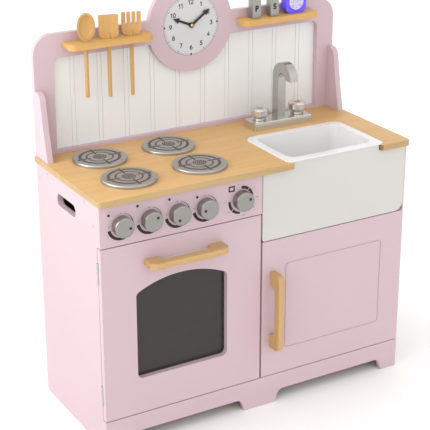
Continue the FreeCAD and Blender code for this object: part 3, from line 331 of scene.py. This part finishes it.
class Print:
    """Flat marks on a face, in millimetres from its centre, gathered into one mesh."""

    def __init__(self, centre, right, up, lift=INK_LIFT):
        self.mesh = bmesh.new()
        self.right = Vector(right)
        self.up = Vector(up)
        self.out = self.right.cross(self.up)
        self.centre = Vector(centre) + self.out * lift

    def at(self, u, v):
        return self.mesh.verts.new(self.centre + (self.right * u + self.up * v) * MM)

    def move(self, centre, lift=INK_LIFT):
        self.centre = Vector(centre) + self.out * lift

    def band(self, inner, outer):
        """Strip between two rows of points."""
        a = [self.at(*p) for p in inner]
        b = [self.at(*p) for p in outer]
        for i in range(len(a) - 1):
            self.mesh.faces.new((a[i], a[i + 1], b[i + 1], b[i]))

    def shape(self, points):
        self.mesh.faces.new([self.at(*p) for p in points])

    def arc(self, u, v, start, end, r0, r1, r2=None, r3=None, steps=48):
        """Curved stroke, angles clockwise from up; r0 to r1 at its start, r2 to r3 at its end."""
        r2 = r0 if r2 is None else r2
        r3 = r1 if r3 is None else r3
        inner, outer = [], []
        for i in range(steps + 1):
            t = i / steps
            a = math.radians(start + (end - start) * t)
            low = r0 + (r2 - r0) * t
            high = r1 + (r3 - r1) * t
            inner.append((u + low * math.sin(a), v + low * math.cos(a)))
            outer.append((u + high * math.sin(a), v + high * math.cos(a)))
        self.band(outer, inner)

    def dot(self, u, v, radius, sides=28):
        turn = 2 * math.pi / sides
        self.shape([(u + radius * math.cos(i * turn), v + radius * math.sin(i * turn)) for i in range(sides)])

    def bar(self, start, end, width_start, width_end=None):
        """Straight stroke that may taper."""
        width_end = width_start if width_end is None else width_end
        run = (Vector(end) - Vector(start)).normalized()
        side = Vector((-run.y, run.x))
        a, b = Vector(start), Vector(end)
        self.shape([tuple(a - side * width_start / 2), tuple(b - side * width_end / 2),
                    tuple(b + side * width_end / 2), tuple(a + side * width_start / 2)])

    def pen(self, points, width):
        """Line of even width through the points, round at both ends."""
        path = [Vector(p) for p in points]
        left, right = [], []
        for i, here in enumerate(path):
            ahead = (path[min(i + 1, len(path) - 1)] - here)
            behind = (here - path[max(i - 1, 0)])
            ahead = ahead.normalized() if ahead.length > 0 else behind.normalized()
            behind = behind.normalized() if behind.length > 0 else ahead
            side = Vector((-(ahead.y + behind.y), ahead.x + behind.x))
            side.normalize()
            reach = width / 2 / max(0.5, side.dot(Vector((-ahead.y, ahead.x))))
            left.append(tuple(here + side * reach))
            right.append(tuple(here - side * reach))
        self.band(left, right)
        for end in (path[0], path[-1]):
            self.dot(end.x, end.y, width / 2, 10)

    def write(self, words, u, v, height, weight=0.16):
        """Plain rounded figures centred on (u, v)."""
        gap = 0.22 + weight
        widths = [max(point[0] for stroke in FIGURES[c] for point in stroke) for c in words]
        x = u - (sum(widths) + gap * (len(words) - 1)) * height / 2
        for c, width in zip(words, widths):
            for stroke in FIGURES[c]:
                self.pen([(x + px * height, v + (py - 0.5) * height) for px, py in stroke], weight * height)
            x += (width + gap) * height

    def finish(self, name, material, body):
        mesh = bpy.data.meshes.new(name)
        bmesh.ops.triangulate(self.mesh, faces=[f for f in self.mesh.faces if len(f.verts) > 4])
        self.mesh.normal_update()
        for face in self.mesh.faces:
            if face.normal.dot(self.out) < 0:
                face.normal_flip()
        self.mesh.to_mesh(mesh)
        self.mesh.free()
        mesh.materials.append(material)
        return add_piece(name, mesh, body)


def lathe(name, profile, centre, axis, material, body, sides=64):
    """Turned piece from (radius, height) points in millimetres along an axis."""
    work = bmesh.new()
    rings = []
    for radius, height in profile:
        ring = []
        for i in range(sides):
            a = 2 * math.pi * i / sides
            ring.append(work.verts.new((radius * MM * math.cos(a), radius * MM * math.sin(a), height * MM)))
        rings.append(ring)
    for low, high in zip(rings, rings[1:]):
        for i in range(sides):
            j = (i + 1) % sides
            work.faces.new((low[i], low[j], high[j], high[i]))
    work.faces.new(rings[0][::-1])
    work.faces.new(rings[-1])
    for face in work.faces:
        face.smooth = True
    mesh = bpy.data.meshes.new(name)
    work.to_mesh(mesh)
    work.free()
    mesh.materials.append(material)
    lean = Vector((0, 0, 1)).rotation_difference(Vector(axis)).to_matrix().to_4x4()
    return add_piece(name, mesh, body, Matrix.Translation(centre) @ lean)


# ---- settings -----------------------------------------------------------------------------
def tint(label, note, value):
    return FloatVectorProperty(name=label, description=note, default=value, size=3, min=0.0, max=1.0, subtype="COLOR")


def length(label, note, value):
    return FloatProperty(name=label, description=note, default=value, min=0.0, unit="LENGTH", subtype="DISTANCE")


class PaintSettings(bpy.types.PropertyGroup):
    """Paint colours and edge easing of the boards."""

    pink: tint("Pink", "Paint of the case, doors, frame and wings", (0.544, 0.413, 0.449))
    white: tint("White", "Paint of the front under the sink", (0.552, 0.533, 0.513))
    cream: tint("Cream", "Paint of the grooved back board", (0.756, 0.761, 0.759))
    raw: tint("Raw board", "Bare fibreboard inside the case", (0.36, 0.25, 0.15))
    gloss: FloatProperty(name="Roughness", description="Roughness of the satin paint", default=0.36, min=0.0, max=1.0)
    peel: length("Orange peel", "Depth of the sprayed texture", 0.035 * MM)
    ease: length("Edge easing", "Radius sanded on the painted edges", 0.9 * MM)


class TimberSettings(bpy.types.PropertyGroup):
    """Wood colours."""

    top_light: tint("Worktop light", "Pale figure of the worktop", (0.640, 0.397, 0.163))
    top_dark: tint("Worktop dark", "Dark figure of the worktop", (0.540, 0.316, 0.116))
    edge_light: tint("Edging light", "Pale figure of the worktop edging", (0.508, 0.352, 0.168))
    edge_dark: tint("Edging dark", "Dark figure of the worktop edging", (0.390, 0.259, 0.115))
    pale_light: tint("Solid wood light", "Pale figure of handles, shelves and utensils", (0.583, 0.387, 0.178))
    pale_dark: tint("Solid wood dark", "Dark figure of handles, shelves and utensils", (0.470, 0.272, 0.103))
    ease: length("Hand easing", "Radius sanded on what hands hold", 2.4 * MM)


class MetalSettings(bpy.types.PropertyGroup):
    """Silver, steel, brass and the sink."""

    silver: tint("Silver", "Lacquer of knobs, hob and taps", (0.50, 0.49, 0.46))
    dial: tint("Dial", "Clock dial", (0.545, 0.550, 0.555))
    steel: tint("Steel", "Plated screws and hinges", (0.55, 0.55, 0.54))
    brass: tint("Brass", "Rivet of the clock", (0.62, 0.42, 0.18))
    sink: tint("Sink", "Moulded tub", (0.695, 0.690, 0.684))


class PrintSettings(bpy.types.PropertyGroup):
    """Inks and their sizes."""

    black: tint("Black ink", "Scales, dial figures and pointers", (0.018, 0.012, 0.014))
    hob: tint("Hob ink", "Pattern on the hob rings", (0.085, 0.066, 0.052))
    grey: tint("Grey ink", "Fine lines and faint marks", (0.22, 0.19, 0.19))
    red: tint("Hot", "Dot of the hot tap", (0.62, 0.10, 0.06))
    blue: tint("Cold", "Dot of the cold tap", (0.270, 0.260, 0.240))
    violet: tint("Violet", "Case of the timer", (0.13, 0.085, 0.90))
    hob_radius: length("Hob ring radius", "Radius of one hob ring", 54.7 * MM)


class StageSettings(bpy.types.PropertyGroup):
    """Floor, light and camera."""

    floor: tint("Floor", "Pale studio floor", (0.90, 0.90, 0.90))
    power: FloatProperty(name="Lamps", description="Brightness of all the lamps together", default=1.0, min=0.0)
    sky: FloatProperty(name="Sky", description="Strength of the even light all round", default=0.35, min=0.0)
    lens: FloatProperty(name="Lens", description="Focal length of the camera, in millimetres", default=110.0, min=1.0)


# ---- pieces --------------------------------------------------------------------------------
class TOYKITCHEN_OT_stage(bpy.types.Operator):
    """Lay the floor, hang the lights and set the camera"""

    bl_idname = "toykitchen.stage"
    bl_label = "Stage"

    FLOOR_REACH = 14.0
    CAMERA_SPOT = (-1.2856, -2.1643, 1.4066)
    CAMERA_TURN = -30.667
    CAMERA_DIP = 21.284
    CAMERA_ROLL = 0.128
    CAMERA_SHIFT = (-0.0300, -0.0414)
    # name, place, aim, size in metres, watts
    LAMPS = (
        ("side_light", (-0.95, 0.1, 0.85), (-0.35, 0.0, 0.5), 0.5, 2.9),
        ("far_side_light", (-2.6, -0.4, 1.8), (0.0, 0.0, 0.4), 1.6, 7.0),
        ("front_light", (0.35, -1.5, 0.9), (0.15, 0.0, 0.45), 0.6, 1.0),
    )
    # direction the extra light comes from, and its share
    ROOM = (
        ((-1.0, 0.0, 0.0), 1.05),
        ((0.0, -1.0, 0.0), 0.76),
        ((0.0, 0.0, 1.0), 0.5),
        ((0.0, 1.0, 0.0), 0.65),
        ((1.0, 0.0, 0.0), 0.3),
    )

    def execute(self, context):
        set_up = context.scene.toykitchen_stage
        mesh = bpy.data.meshes.new("floor")
        reach = self.FLOOR_REACH
        corners = [(-reach, -reach, 0), (reach, -reach, 0), (reach, reach, 0), (-reach, reach, 0)]
        mesh.from_pydata(corners, [], [(0, 1, 2, 3)])
        floor = bpy.data.objects.new("floor", mesh)
        paper = Finish("studio_floor", Specular_IOR_Level=0.1)
        paper.colour(paper.mix(paper.noise((0.6, 0.6, 0.6)), rgba(set_up.floor, 0.995), rgba(set_up.floor)))
        paper.roughness(0.85 + 0.05 * paper.noise((9.0, 9.0, 9.0)))
        mesh.materials.append(paper.material)
        context.scene.collection.objects.link(floor)
        floor.location.z = CAD_BOX[0][2] - 0.0002

        context.scene.world = self.room(set_up.sky)
        context.scene.view_settings.view_transform = "Standard"

        for name, where, aim, size, power in self.LAMPS:
            lamp = bpy.data.lights.new(name, "AREA")
            lamp.shape = "SQUARE"
            lamp.size = size
            lamp.energy = power * set_up.power
            lamp.color = (1.0, 0.985, 0.975)
            holder = bpy.data.objects.new(name, lamp)
            holder.location = where
            holder.rotation_euler = (Vector(aim) - Vector(where)).to_track_quat("-Z", "Y").to_euler()
            context.scene.collection.objects.link(holder)

        camera = bpy.data.cameras.new("camera")
        camera.sensor_width = 36.0
        camera.lens = set_up.lens
        camera.shift_x, camera.shift_y = self.CAMERA_SHIFT
        camera.clip_end = 60.0
        holder = bpy.data.objects.new("camera", camera)
        turn = Matrix.Rotation(math.radians(self.CAMERA_TURN), 4, "Z")
        tilt = Matrix.Rotation(math.radians(90 - self.CAMERA_DIP), 4, "X")
        roll = Matrix.Rotation(math.radians(self.CAMERA_ROLL), 4, "Z")
        holder.matrix_world = Matrix.Translation(self.CAMERA_SPOT) @ turn @ tilt @ roll
        context.scene.collection.objects.link(holder)
        context.scene.camera = holder
        return {"FINISHED"}

    def room(self, strength):
        """Even light all round, stronger from some sides."""
        world = bpy.data.worlds.new("studio")
        world.use_nodes = True
        studio = NodeTree(world.node_tree)
        backdrop = studio.tree.nodes["Background"]
        backdrop.inputs["Color"].default_value = (1.0, 0.995, 0.99, 1.0)
        direction = studio.node("ShaderNodeTexCoord").outputs["Generated"]
        light = strength
        for side, share in self.ROOM:
            facing = studio.node("ShaderNodeVectorMath", {"operation": "DOT_PRODUCT"}, {0: direction, 1: side})
            light = light + share * studio.math("MAXIMUM", facing.outputs["Value"], 0.0)
        studio.feed(backdrop.inputs["Strength"], light)
        return world


class TOYKITCHEN_OT_case(bpy.types.Operator):
    """Paint the case: sides, plinth, control panel, rail, apron and the bare boards inside"""

    bl_idname = "toykitchen.case"
    bl_label = "Case"

    def execute(self, context):
        paint = context.scene.toykitchen_paint
        pink = board_paint("satin_pink", paint.pink, paint.gloss, paint.peel)
        dress(["side_left", "side_right", "plinth", "apron_rail"], pink, paint.ease)
        dress(["control_panel"], pink)
        white = board_paint("satin_white", paint.white, 0.30, paint.peel)
        dress(["sink_apron"], white, 1.4 * MM)
        fibre = Finish("bare_board", Specular_IOR_Level=0.2)
        chips = fibre.noise((700.0, 700.0, 700.0), 4.0, 0.7)
        cloud = fibre.noise((20.0, 20.0, 20.0), 3.0)
        fibre.colour(fibre.mix(0.6 * chips + 0.3 * cloud, rgba(paint.raw, 0.85), rgba(paint.raw, 1.2)))
        fibre.roughness(0.78 + 0.12 * chips)
        fibre.relief(chips, 0.06 * MM)
        dress(["divider", "base_panel", "back_panel", "back_rail", "cleats", "oven_shelf"], fibre.material, 0.5 * MM, 2)
        return {"FINISHED"}


class TOYKITCHEN_OT_worktop(bpy.types.Operator):
    """Grain the worktop and its edging, with bare walls in the sink cut-out"""

    bl_idname = "toykitchen.worktop"
    bl_label = "Worktop"

    def execute(self, context):
        colours = context.scene.toykitchen_timber
        material, wood = timber("worktop_wood", colours.top_light, colours.top_dark, 0, 0.34, 0.6)
        face = wood.shader.inputs["Base Color"].links[0].from_socket
        level = wood.axis(wood.place["Normal"], 2)
        cut_wall = 1.0 - wood.math("ABSOLUTE", level).over(0.5, 0.9)
        bare = wood.mix(wood.noise((600.0, 600.0, 900.0), 3.0), (0.17, 0.10, 0.045, 1), (0.27, 0.165, 0.075, 1))
        wood.colour(wood.mix(cut_wall, face, bare))
        dress(["worktop"], material)
        edging, _ = timber("edging_wood", colours.edge_light, colours.edge_dark, 0, 0.38, 0.6)
        dress(["worktop_edging"], edging, 0.35 * MM, 2)
        return {"FINISHED"}


class TOYKITCHEN_OT_hob(bpy.types.Operator):
    """Silver the four hob rings and print their pattern"""

    bl_idname = "toykitchen.hob"
    bl_label = "Hob"

    def execute(self, context):
        inks = context.scene.toykitchen_print
        # Darker copy of the silver on the hob rings: painted shade.
        silver = silver_paint("hob_silver", tinted(context.scene.toykitchen_metal.silver, HOB_SILVER_PAINTED_SHADE), 0.24, 0.9)
        dress(["hob_rings"], silver)
        low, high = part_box("hob_rings")
        radius = inks.hob_radius
        brown = ink("hob_ink", inks.hob)
        marks = Print((0, 0, 0), *TOP_FACE)
        for x in (low.x + radius, high.x - radius):
            for y in (low.y + radius, high.y - radius):
                marks.move((x, y, high.z))
                self.ring(marks)
        marks.finish("hob_print", brown, "carcass")
        return {"FINISHED"}

    def ring(self, marks):
        """Two circles, four tapered supports and a perforated burner."""
        for quarter in range(4):
            start = 90 * quarter
            marks.arc(0, 0, start + 6.5, start + 83.5, 36.2, 42.4, steps=24)
            marks.arc(0, 0, start + 7.0, start + 83.0, 24.6, 28.2, steps=20)
            a = math.radians(start)
            out = Vector((math.sin(a), math.cos(a)))
            marks.bar(out * 17.5, out * 46.8, 3.6, 7.8)
        marks.dot(0, 0, 2.2)
        for ring, (r0, r1, count) in enumerate(((3.6, 5.6, 6), (7.0, 9.4, 10), (10.8, 13.8, 14))):
            for petal in range(count):
                start = 360 / count * (petal + ring / 2)
                marks.arc(0, 0, start + 18 / r0, start + 360 / count - 18 / r0, r0, r1, steps=5)


class TOYKITCHEN_OT_sink(bpy.types.Operator):
    """Mould the lift-out tub in glossy white plastic"""

    bl_idname = "toykitchen.sink"
    bl_label = "Sink"

    def execute(self, context):
        metal = context.scene.toykitchen_metal
        tub = moulded("tub_plastic", metal.sink, 0.16, 0.02 * MM, Specular_IOR_Level=0.5, Coat_Roughness=0.1)
        dress(["sink_tub"], tub)
        return {"FINISHED"}


class TOYKITCHEN_OT_taps(bpy.types.Operator):
    """Silver the spout, its base and the two turning taps, with their coloured dots and a ring of painted shadow under
    each tap
    """

    bl_idname = "toykitchen.taps"
    bl_label = "Taps"

    def execute(self, context):
        metal = context.scene.toykitchen_metal
        inks = context.scene.toykitchen_print
        # Lighter copy of the silver on the taps and their base: painted light.
        silver = silver_paint("tap_silver", tinted(metal.silver, TAP_SILVER_PAINTED_LIGHT), 0.20, 0.95)
        dress(["tap_base", "tap_cold", "tap_hot"], silver)
        # Darker copy of the silver on the spout: painted shade.
        dress(["tap_spout"], silver_paint("spout_silver", tinted(metal.silver, SPOUT_SILVER_PAINTED_SHADE), 0.16, 0.95))
        wood, _ = timber("pin_wood", (0.55, 0.38, 0.2), (0.42, 0.27, 0.13), 2, 0.6)
        dress(["tap_pins", "knob_pins"], wood)
        # Painted shadow: a dark ink stands for the shade in the gap under each tap's foot.
        shadow = ink("tap_foot_painted_shadow", (0.05, 0.045, 0.04))
        for node, colour in (("tap_cold", inks.blue), ("tap_hot", inks.red)):
            low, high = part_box(node)
            centre = (low + high) / 2
            dot = Print((centre.x, centre.y, high.z - 0.8 * MM), *TOP_FACE)
            dot.dot(0, 0, 7.2, 48)
            dot.finish(node + "_dot", ink(node + "_enamel", colour, 0.25), node)
            base_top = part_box("tap_base")[1].z
            # Thin dark ring on the base round the tap's foot, not a real part: painted shadow.
            lathe(node + "_foot_painted_shadow", [(10.0, 0.0), (13.6, 0.0), (13.6, 0.25), (10.0, 0.25)],
                  Vector((centre.x, centre.y, base_top)), (0, 0, 1), shadow, "carcass")
        return {"FINISHED"}


class TOYKITCHEN_OT_knobs(bpy.types.Operator):
    """Silver the five knobs, mark their pointers and print the scales behind them"""

    bl_idname = "toykitchen.knobs"
    bl_label = "Knobs"

    RESTS = (101.0, 47.0, 220.0, 268.0, 65.0)
    FILLED = ((-1, -1), (-1, 1), (1, 1), (1, -1))
    DEGREES = (("0", 350), ("50", 52), ("100", 90), ("150", 128), ("200", 170), ("250", 232), ("300", 272))

    def execute(self, context):
        metal = context.scene.toykitchen_metal
        inks = context.scene.toykitchen_print
        # Darker copy of the silver on the knobs: painted shade.
        silver = silver_paint("knob_silver", tinted(metal.silver, KNOB_SILVER_PAINTED_SHADE), 0.28, 0.9)
        black = ink("scale_ink", inks.black)
        grey = ink("fine_ink", inks.grey)
        face_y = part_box("control_panel")[0].y
        scales = Print((0, 0, 0), *FRONT_FACE)
        fine = Print((0, 0, 0), *FRONT_FACE)
        for i, rest in enumerate(self.RESTS):
            name = "knob_%d" % (i + 1)
            dress([name], silver)
            low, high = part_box(name)
            centre = (low + high) / 2
            pointer = Print((centre.x, low.y, centre.z), *FRONT_FACE)
            a = math.radians(rest)
            pointer.dot(10.4 * math.sin(a), 10.4 * math.cos(a), 3.0)
            pointer.finish(name + "_pointer", black, name)
            for marks in (scales, fine):
                marks.move((centre.x, face_y, centre.z))
            if i < 4:
                self.hob_scale(scales, fine, self.FILLED[i])
            else:
                self.oven_scale(scales, fine)
        scales.finish("knob_scales", black, "carcass")
        fine.finish("knob_fine_marks", grey, "carcass")
        return {"FINISHED"}

    def hob_scale(self, scales, fine, filled):
        """A stroke that swells clockwise from low to high, and which ring it turns on."""
        scales.arc(0, -2.5, 14, 92, 25.6, 26.1, 24.6, 26.6)
        scales.arc(0, -2.5, 92, 180, 24.6, 26.6, 22.4, 27.8, 48)
        scales.arc(0, -2.5, 180, 259, 22.4, 27.8, 22.0, 28.6, 48)
        scales.dot(-1.0, 23.4, 0.9)
        scales.dot(-24.6, 0.5, 0.9)
        for su in (-1, 1):
            for sv in (-1, 1):
                u = -21.5 + su * 3.6
                v = 27.0 + sv * 3.6
                if (su, sv) == filled:
                    scales.dot(u, v, 2.8)
                else:
                    fine.arc(u, v, 0, 360, 2.4, 2.75, steps=24)

    def oven_scale(self, scales, fine):
        """Temperature strokes with their figures, and an oven sign."""
        scales.arc(0, -1.5, 2, 38, 23.4, 29.0, 23.2, 29.6, 32)
        scales.arc(0, -1.5, 42, 84, 23.2, 29.6, 24.4, 27.8, 32)
        scales.arc(0, -1.5, 186, 226, 24.4, 28.4, 23.2, 29.6, 32)
        scales.arc(0, -1.5, 230, 272, 23.2, 29.6, 23.8, 28.8, 32)
        for words, angle in self.DEGREES:
            a = math.radians(angle)
            fine.write(words, 36.5 * math.sin(a), -1.5 + 33.0 * math.cos(a), 2.4, 0.2)
        u0, u1, v0, v1 = -28.5, -14.5, 19.0, 31.0
        edge = 3.0
        scales.bar((u0, v0 + edge / 2), (u1, v0 + edge / 2), edge)
        scales.bar((u0, v1 - edge / 2), (u1, v1 - edge / 2), edge)
        scales.bar((u0 + edge / 2, v0 + edge), (u0 + edge / 2, v1 - edge), edge)
        scales.bar((u1 - edge / 2, v0 + edge), (u1 - edge / 2, v1 - edge), edge)


class TOYKITCHEN_OT_doors(bpy.types.Operator):
    """Paint both doors, varnish their handles, glaze the oven and finish the hinges, screws and catches"""

    bl_idname = "toykitchen.doors"
    bl_label = "Doors"

    def execute(self, context):
        paint = context.scene.toykitchen_paint
        colours = context.scene.toykitchen_timber
        metal = context.scene.toykitchen_metal
        pink = bpy.data.materials["satin_pink"]
        dress(["oven_door", "cupboard_door"], pink, paint.ease)
        across, _ = timber("handle_wood_across", colours.pale_light, colours.pale_dark, 0, 0.36)
        upright, _ = timber("handle_wood_upright", colours.pale_light, colours.pale_dark, 2, 0.36)
        dress(["oven_handle"], across, colours.ease)
        dress(["cupboard_handle"], upright, colours.ease)
        pane = moulded("oven_pane", (0.030, 0.026, 0.024), 0.06, 0.004 * MM, Alpha=0.86, IOR=1.49)
        dress(["oven_window"], pane)
        steel = plated("plated_steel", metal.steel, 0.32)
        dress(["structure_screws", "hinge_leaves_frame", "hinge_pins", "oven_hinge_leaves", "cupboard_hinge_leaves",
               "oven_door_screws", "cupboard_door_screws", "oven_strike", "cupboard_strike"], steel)
        dress(["door_catches"], moulded("catch_plastic", (0.74, 0.72, 0.68), 0.45), 0.8 * MM)
        return {"FINISHED"}


class TOYKITCHEN_OT_backsplash(bpy.types.Operator):
    """Paint the frame, wings and grooved board, and varnish the shelves"""

    bl_idname = "toykitchen.backsplash"
    bl_label = "Backsplash"

    def execute(self, context):
        paint = context.scene.toykitchen_paint
        colours = context.scene.toykitchen_timber
        pink = bpy.data.materials["satin_pink"]
        dress(["splash_frame", "wing_left", "wing_right"], pink, paint.ease)
        cream = board_paint("satin_cream", paint.cream, 0.42, paint.peel)
        dress(["splash_panel"], cream, 0.35 * MM, 2)
        light, dark = tinted(colours.pale_light, SHELF_TINT), tinted(colours.pale_dark, SHELF_TINT)
        shelf, _ = timber("shelf_wood", light, dark, 0, 0.38)
        dress(["shelf_left", "shelf_right"], shelf, 1.6 * MM)
        return {"FINISHED"}


class TOYKITCHEN_OT_clock(bpy.types.Operator):
    """Print the dial and finish the hands and their rivet"""

    bl_idname = "toykitchen.clock"
    bl_label = "Clock"

    def execute(self, context):
        metal = context.scene.toykitchen_metal
        inks = context.scene.toykitchen_print
        dial = moulded("dial_lacquer", metal.dial, 0.35, 0.01 * MM, Specular_IOR_Level=0.4)
        dress(["clock_face"], dial, 0.4 * MM, 2)
        black = ink("dial_ink", inks.black)
        grey = ink("dial_fine_ink", inks.grey)
        low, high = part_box("clock_face")
        centre = (low + high) / 2
        spot = (centre.x, low.y, centre.z)
        rim = (high.x - low.x) / 2 / MM
        figures = Print(spot, *FRONT_FACE)
        track = Print(spot, *FRONT_FACE)
        for hour in range(1, 13):
            a = math.radians(30 * hour)
            u, v = math.sin(a), math.cos(a)
            figures.write(str(hour), 47.5 * u, 47.5 * v, 8.4, 0.21)
            if hour % 3 == 0:
                figures.dot((rim - 2.4) * u, (rim - 2.4) * v, 2.0)
            else:
                figures.bar((u * (rim - 5.2), v * (rim - 5.2)), (u * (rim - 1.0), v * (rim - 1.0)), 1.0)
        for minute in range(60):
            if minute % 5:
                a = math.radians(6 * minute)
                u, v = math.sin(a), math.cos(a)
                track.bar((u * (rim - 3.4), v * (rim - 3.4)), (u * (rim - 1.4), v * (rim - 1.4)), 0.45)
        track.arc(0, 0, 0, 360, rim - 3.7, rim - 3.4, steps=120)
        track.arc(0, 0, 0, 360, rim - 0.95, rim - 0.4, steps=120)
        figures.finish("dial_figures", black, "carcass")
        track.finish("dial_track", grey, "carcass")
        dress(["hour_hand", "minute_hand"], ink("hand_black", inks.black, 0.35), 0.35 * MM, 2)
        dress(["clock_pin"], plated("rivet_brass", metal.brass, 0.22))
        return {"FINISHED"}


class TOYKITCHEN_OT_utensils(bpy.types.Operator):
    """Varnish the spoon, spatula and fork"""

    bl_idname = "toykitchen.utensils"
    bl_label = "Utensils"

    def execute(self, context):
        colours = context.scene.toykitchen_timber
        light = tinted(colours.pale_light, UTENSIL_TINT)
        wood, _ = timber("utensil_wood", light, colours.pale_dark, 2, 0.36, 0.8)
        dress(["spoon"], wood)
        dress(["spatula", "fork"], wood, 0.7 * MM, 2)
        return {"FINISHED"}


class TOYKITCHEN_OT_shelf_pieces(bpy.types.Operator):
    """Finish the two shakers and the timer"""

    bl_idname = "toykitchen.shelf_pieces"
    bl_label = "Shakers and timer"

    def execute(self, context):
        metal = context.scene.toykitchen_metal
        inks = context.scene.toykitchen_print
        # Darker copy of the silver on the shakers: painted shade.
        silver = silver_paint("shaker_silver", tinted(metal.silver, SHAKER_SILVER_PAINTED_SHADE), 0.30, 0.9)
        dress(["shaker_left", "shaker_right"], silver, 0.5 * MM, 2)
        letter_ink = ink("shaker_letter_ink", (0.012, 0.011, 0.011), 0.5)
        for node, letter in (("shaker_left", "P"), ("shaker_right", "S")):
            low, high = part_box(node)
            centre = (low + high) / 2
            mark = Print((centre.x, low.y, low.z), *FRONT_FACE)
            mark.write(letter, 0, 21.0, 10.2, 0.3)
            mark.finish(node + "_letter", letter_ink, node)
            holes = Print((centre.x, centre.y, high.z), *TOP_FACE)
            for u in (-3.0, 0.0, 3.0):
                for v in (-2.4, 2.4):
                    holes.dot(u, v, 0.7, 14)
            holes.finish(node + "_holes", bpy.data.materials["scale_ink"], node)
        violet = moulded("timer_lacquer", inks.violet, 0.25, 0.02 * MM, Specular_IOR_Level=0.5)
        dress(["timer_body"], violet, 1.8 * MM)
        dress(["timer_dial"], moulded("timer_dial_grey", (0.58, 0.56, 0.70), 0.35), 0.5 * MM, 2)
        low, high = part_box("timer_dial")
        centre = (low + high) / 2
        marks = Print((centre.x, low.y, centre.z), *FRONT_FACE)
        for spot in range(8):
            a = math.radians(45 * spot)
            u, v = 13.0 * math.sin(a), 13.0 * math.cos(a)
            if spot % 2:
                marks.arc(u, v, 0, 360, 1.7, 2.6, steps=24)
            else:
                marks.dot(u, v, 0.9, 16)
        marks.arc(0, 0, 0, 360, 8.3, 8.8, steps=60)
        for line in (-1.6, 1.6):
            marks.bar((-4.6, line), (4.6, line), 0.6)
        marks.finish("timer_marks", ink("timer_ink", [c * 0.8 for c in inks.violet]), "timer")
        return {"FINISHED"}


class TOYKITCHEN_PT_panel(bpy.types.Panel):
    """Lists the pieces of the toy kitchen"""

    bl_label = "Toy Kitchen"
    bl_idname = "TOYKITCHEN_PT_panel"
    bl_space_type = "VIEW_3D"
    bl_region_type = "UI"
    bl_category = "Toy Kitchen"

    def draw(self, context):
        for operator in PIECES:
            self.layout.operator(operator.bl_idname)
        for name in SETTINGS:
            group = getattr(context.scene, name)
            box = self.layout.box()
            for key in type(group).__annotations__:
                box.prop(group, key)


SETTINGS = {
    "toykitchen_paint": PaintSettings,
    "toykitchen_timber": TimberSettings,
    "toykitchen_metal": MetalSettings,
    "toykitchen_print": PrintSettings,
    "toykitchen_stage": StageSettings,
}
PIECES = (
    TOYKITCHEN_OT_stage, TOYKITCHEN_OT_case, TOYKITCHEN_OT_worktop, TOYKITCHEN_OT_hob, TOYKITCHEN_OT_sink,
    TOYKITCHEN_OT_taps, TOYKITCHEN_OT_knobs, TOYKITCHEN_OT_doors, TOYKITCHEN_OT_backsplash, TOYKITCHEN_OT_clock,
    TOYKITCHEN_OT_utensils, TOYKITCHEN_OT_shelf_pieces,
)


def register():
    for group in SETTINGS.values():
        bpy.utils.register_class(group)
    for name, group in SETTINGS.items():
        setattr(bpy.types.Scene, name, PointerProperty(type=group))
    for operator in PIECES:
        bpy.utils.register_class(operator)
    bpy.utils.register_class(TOYKITCHEN_PT_panel)


def unregister():
    bpy.utils.unregister_class(TOYKITCHEN_PT_panel)
    for operator in reversed(PIECES):
        bpy.utils.unregister_class(operator)
    for name in SETTINGS:
        delattr(bpy.types.Scene, name)
    for group in SETTINGS.values():
        bpy.utils.unregister_class(group)


def main():
    register()
    for operator in PIECES:
        piece = operator.bl_idname.split(".")[1]
        getattr(bpy.ops.toykitchen, piece)()


if __name__ == "__main__":
    main()
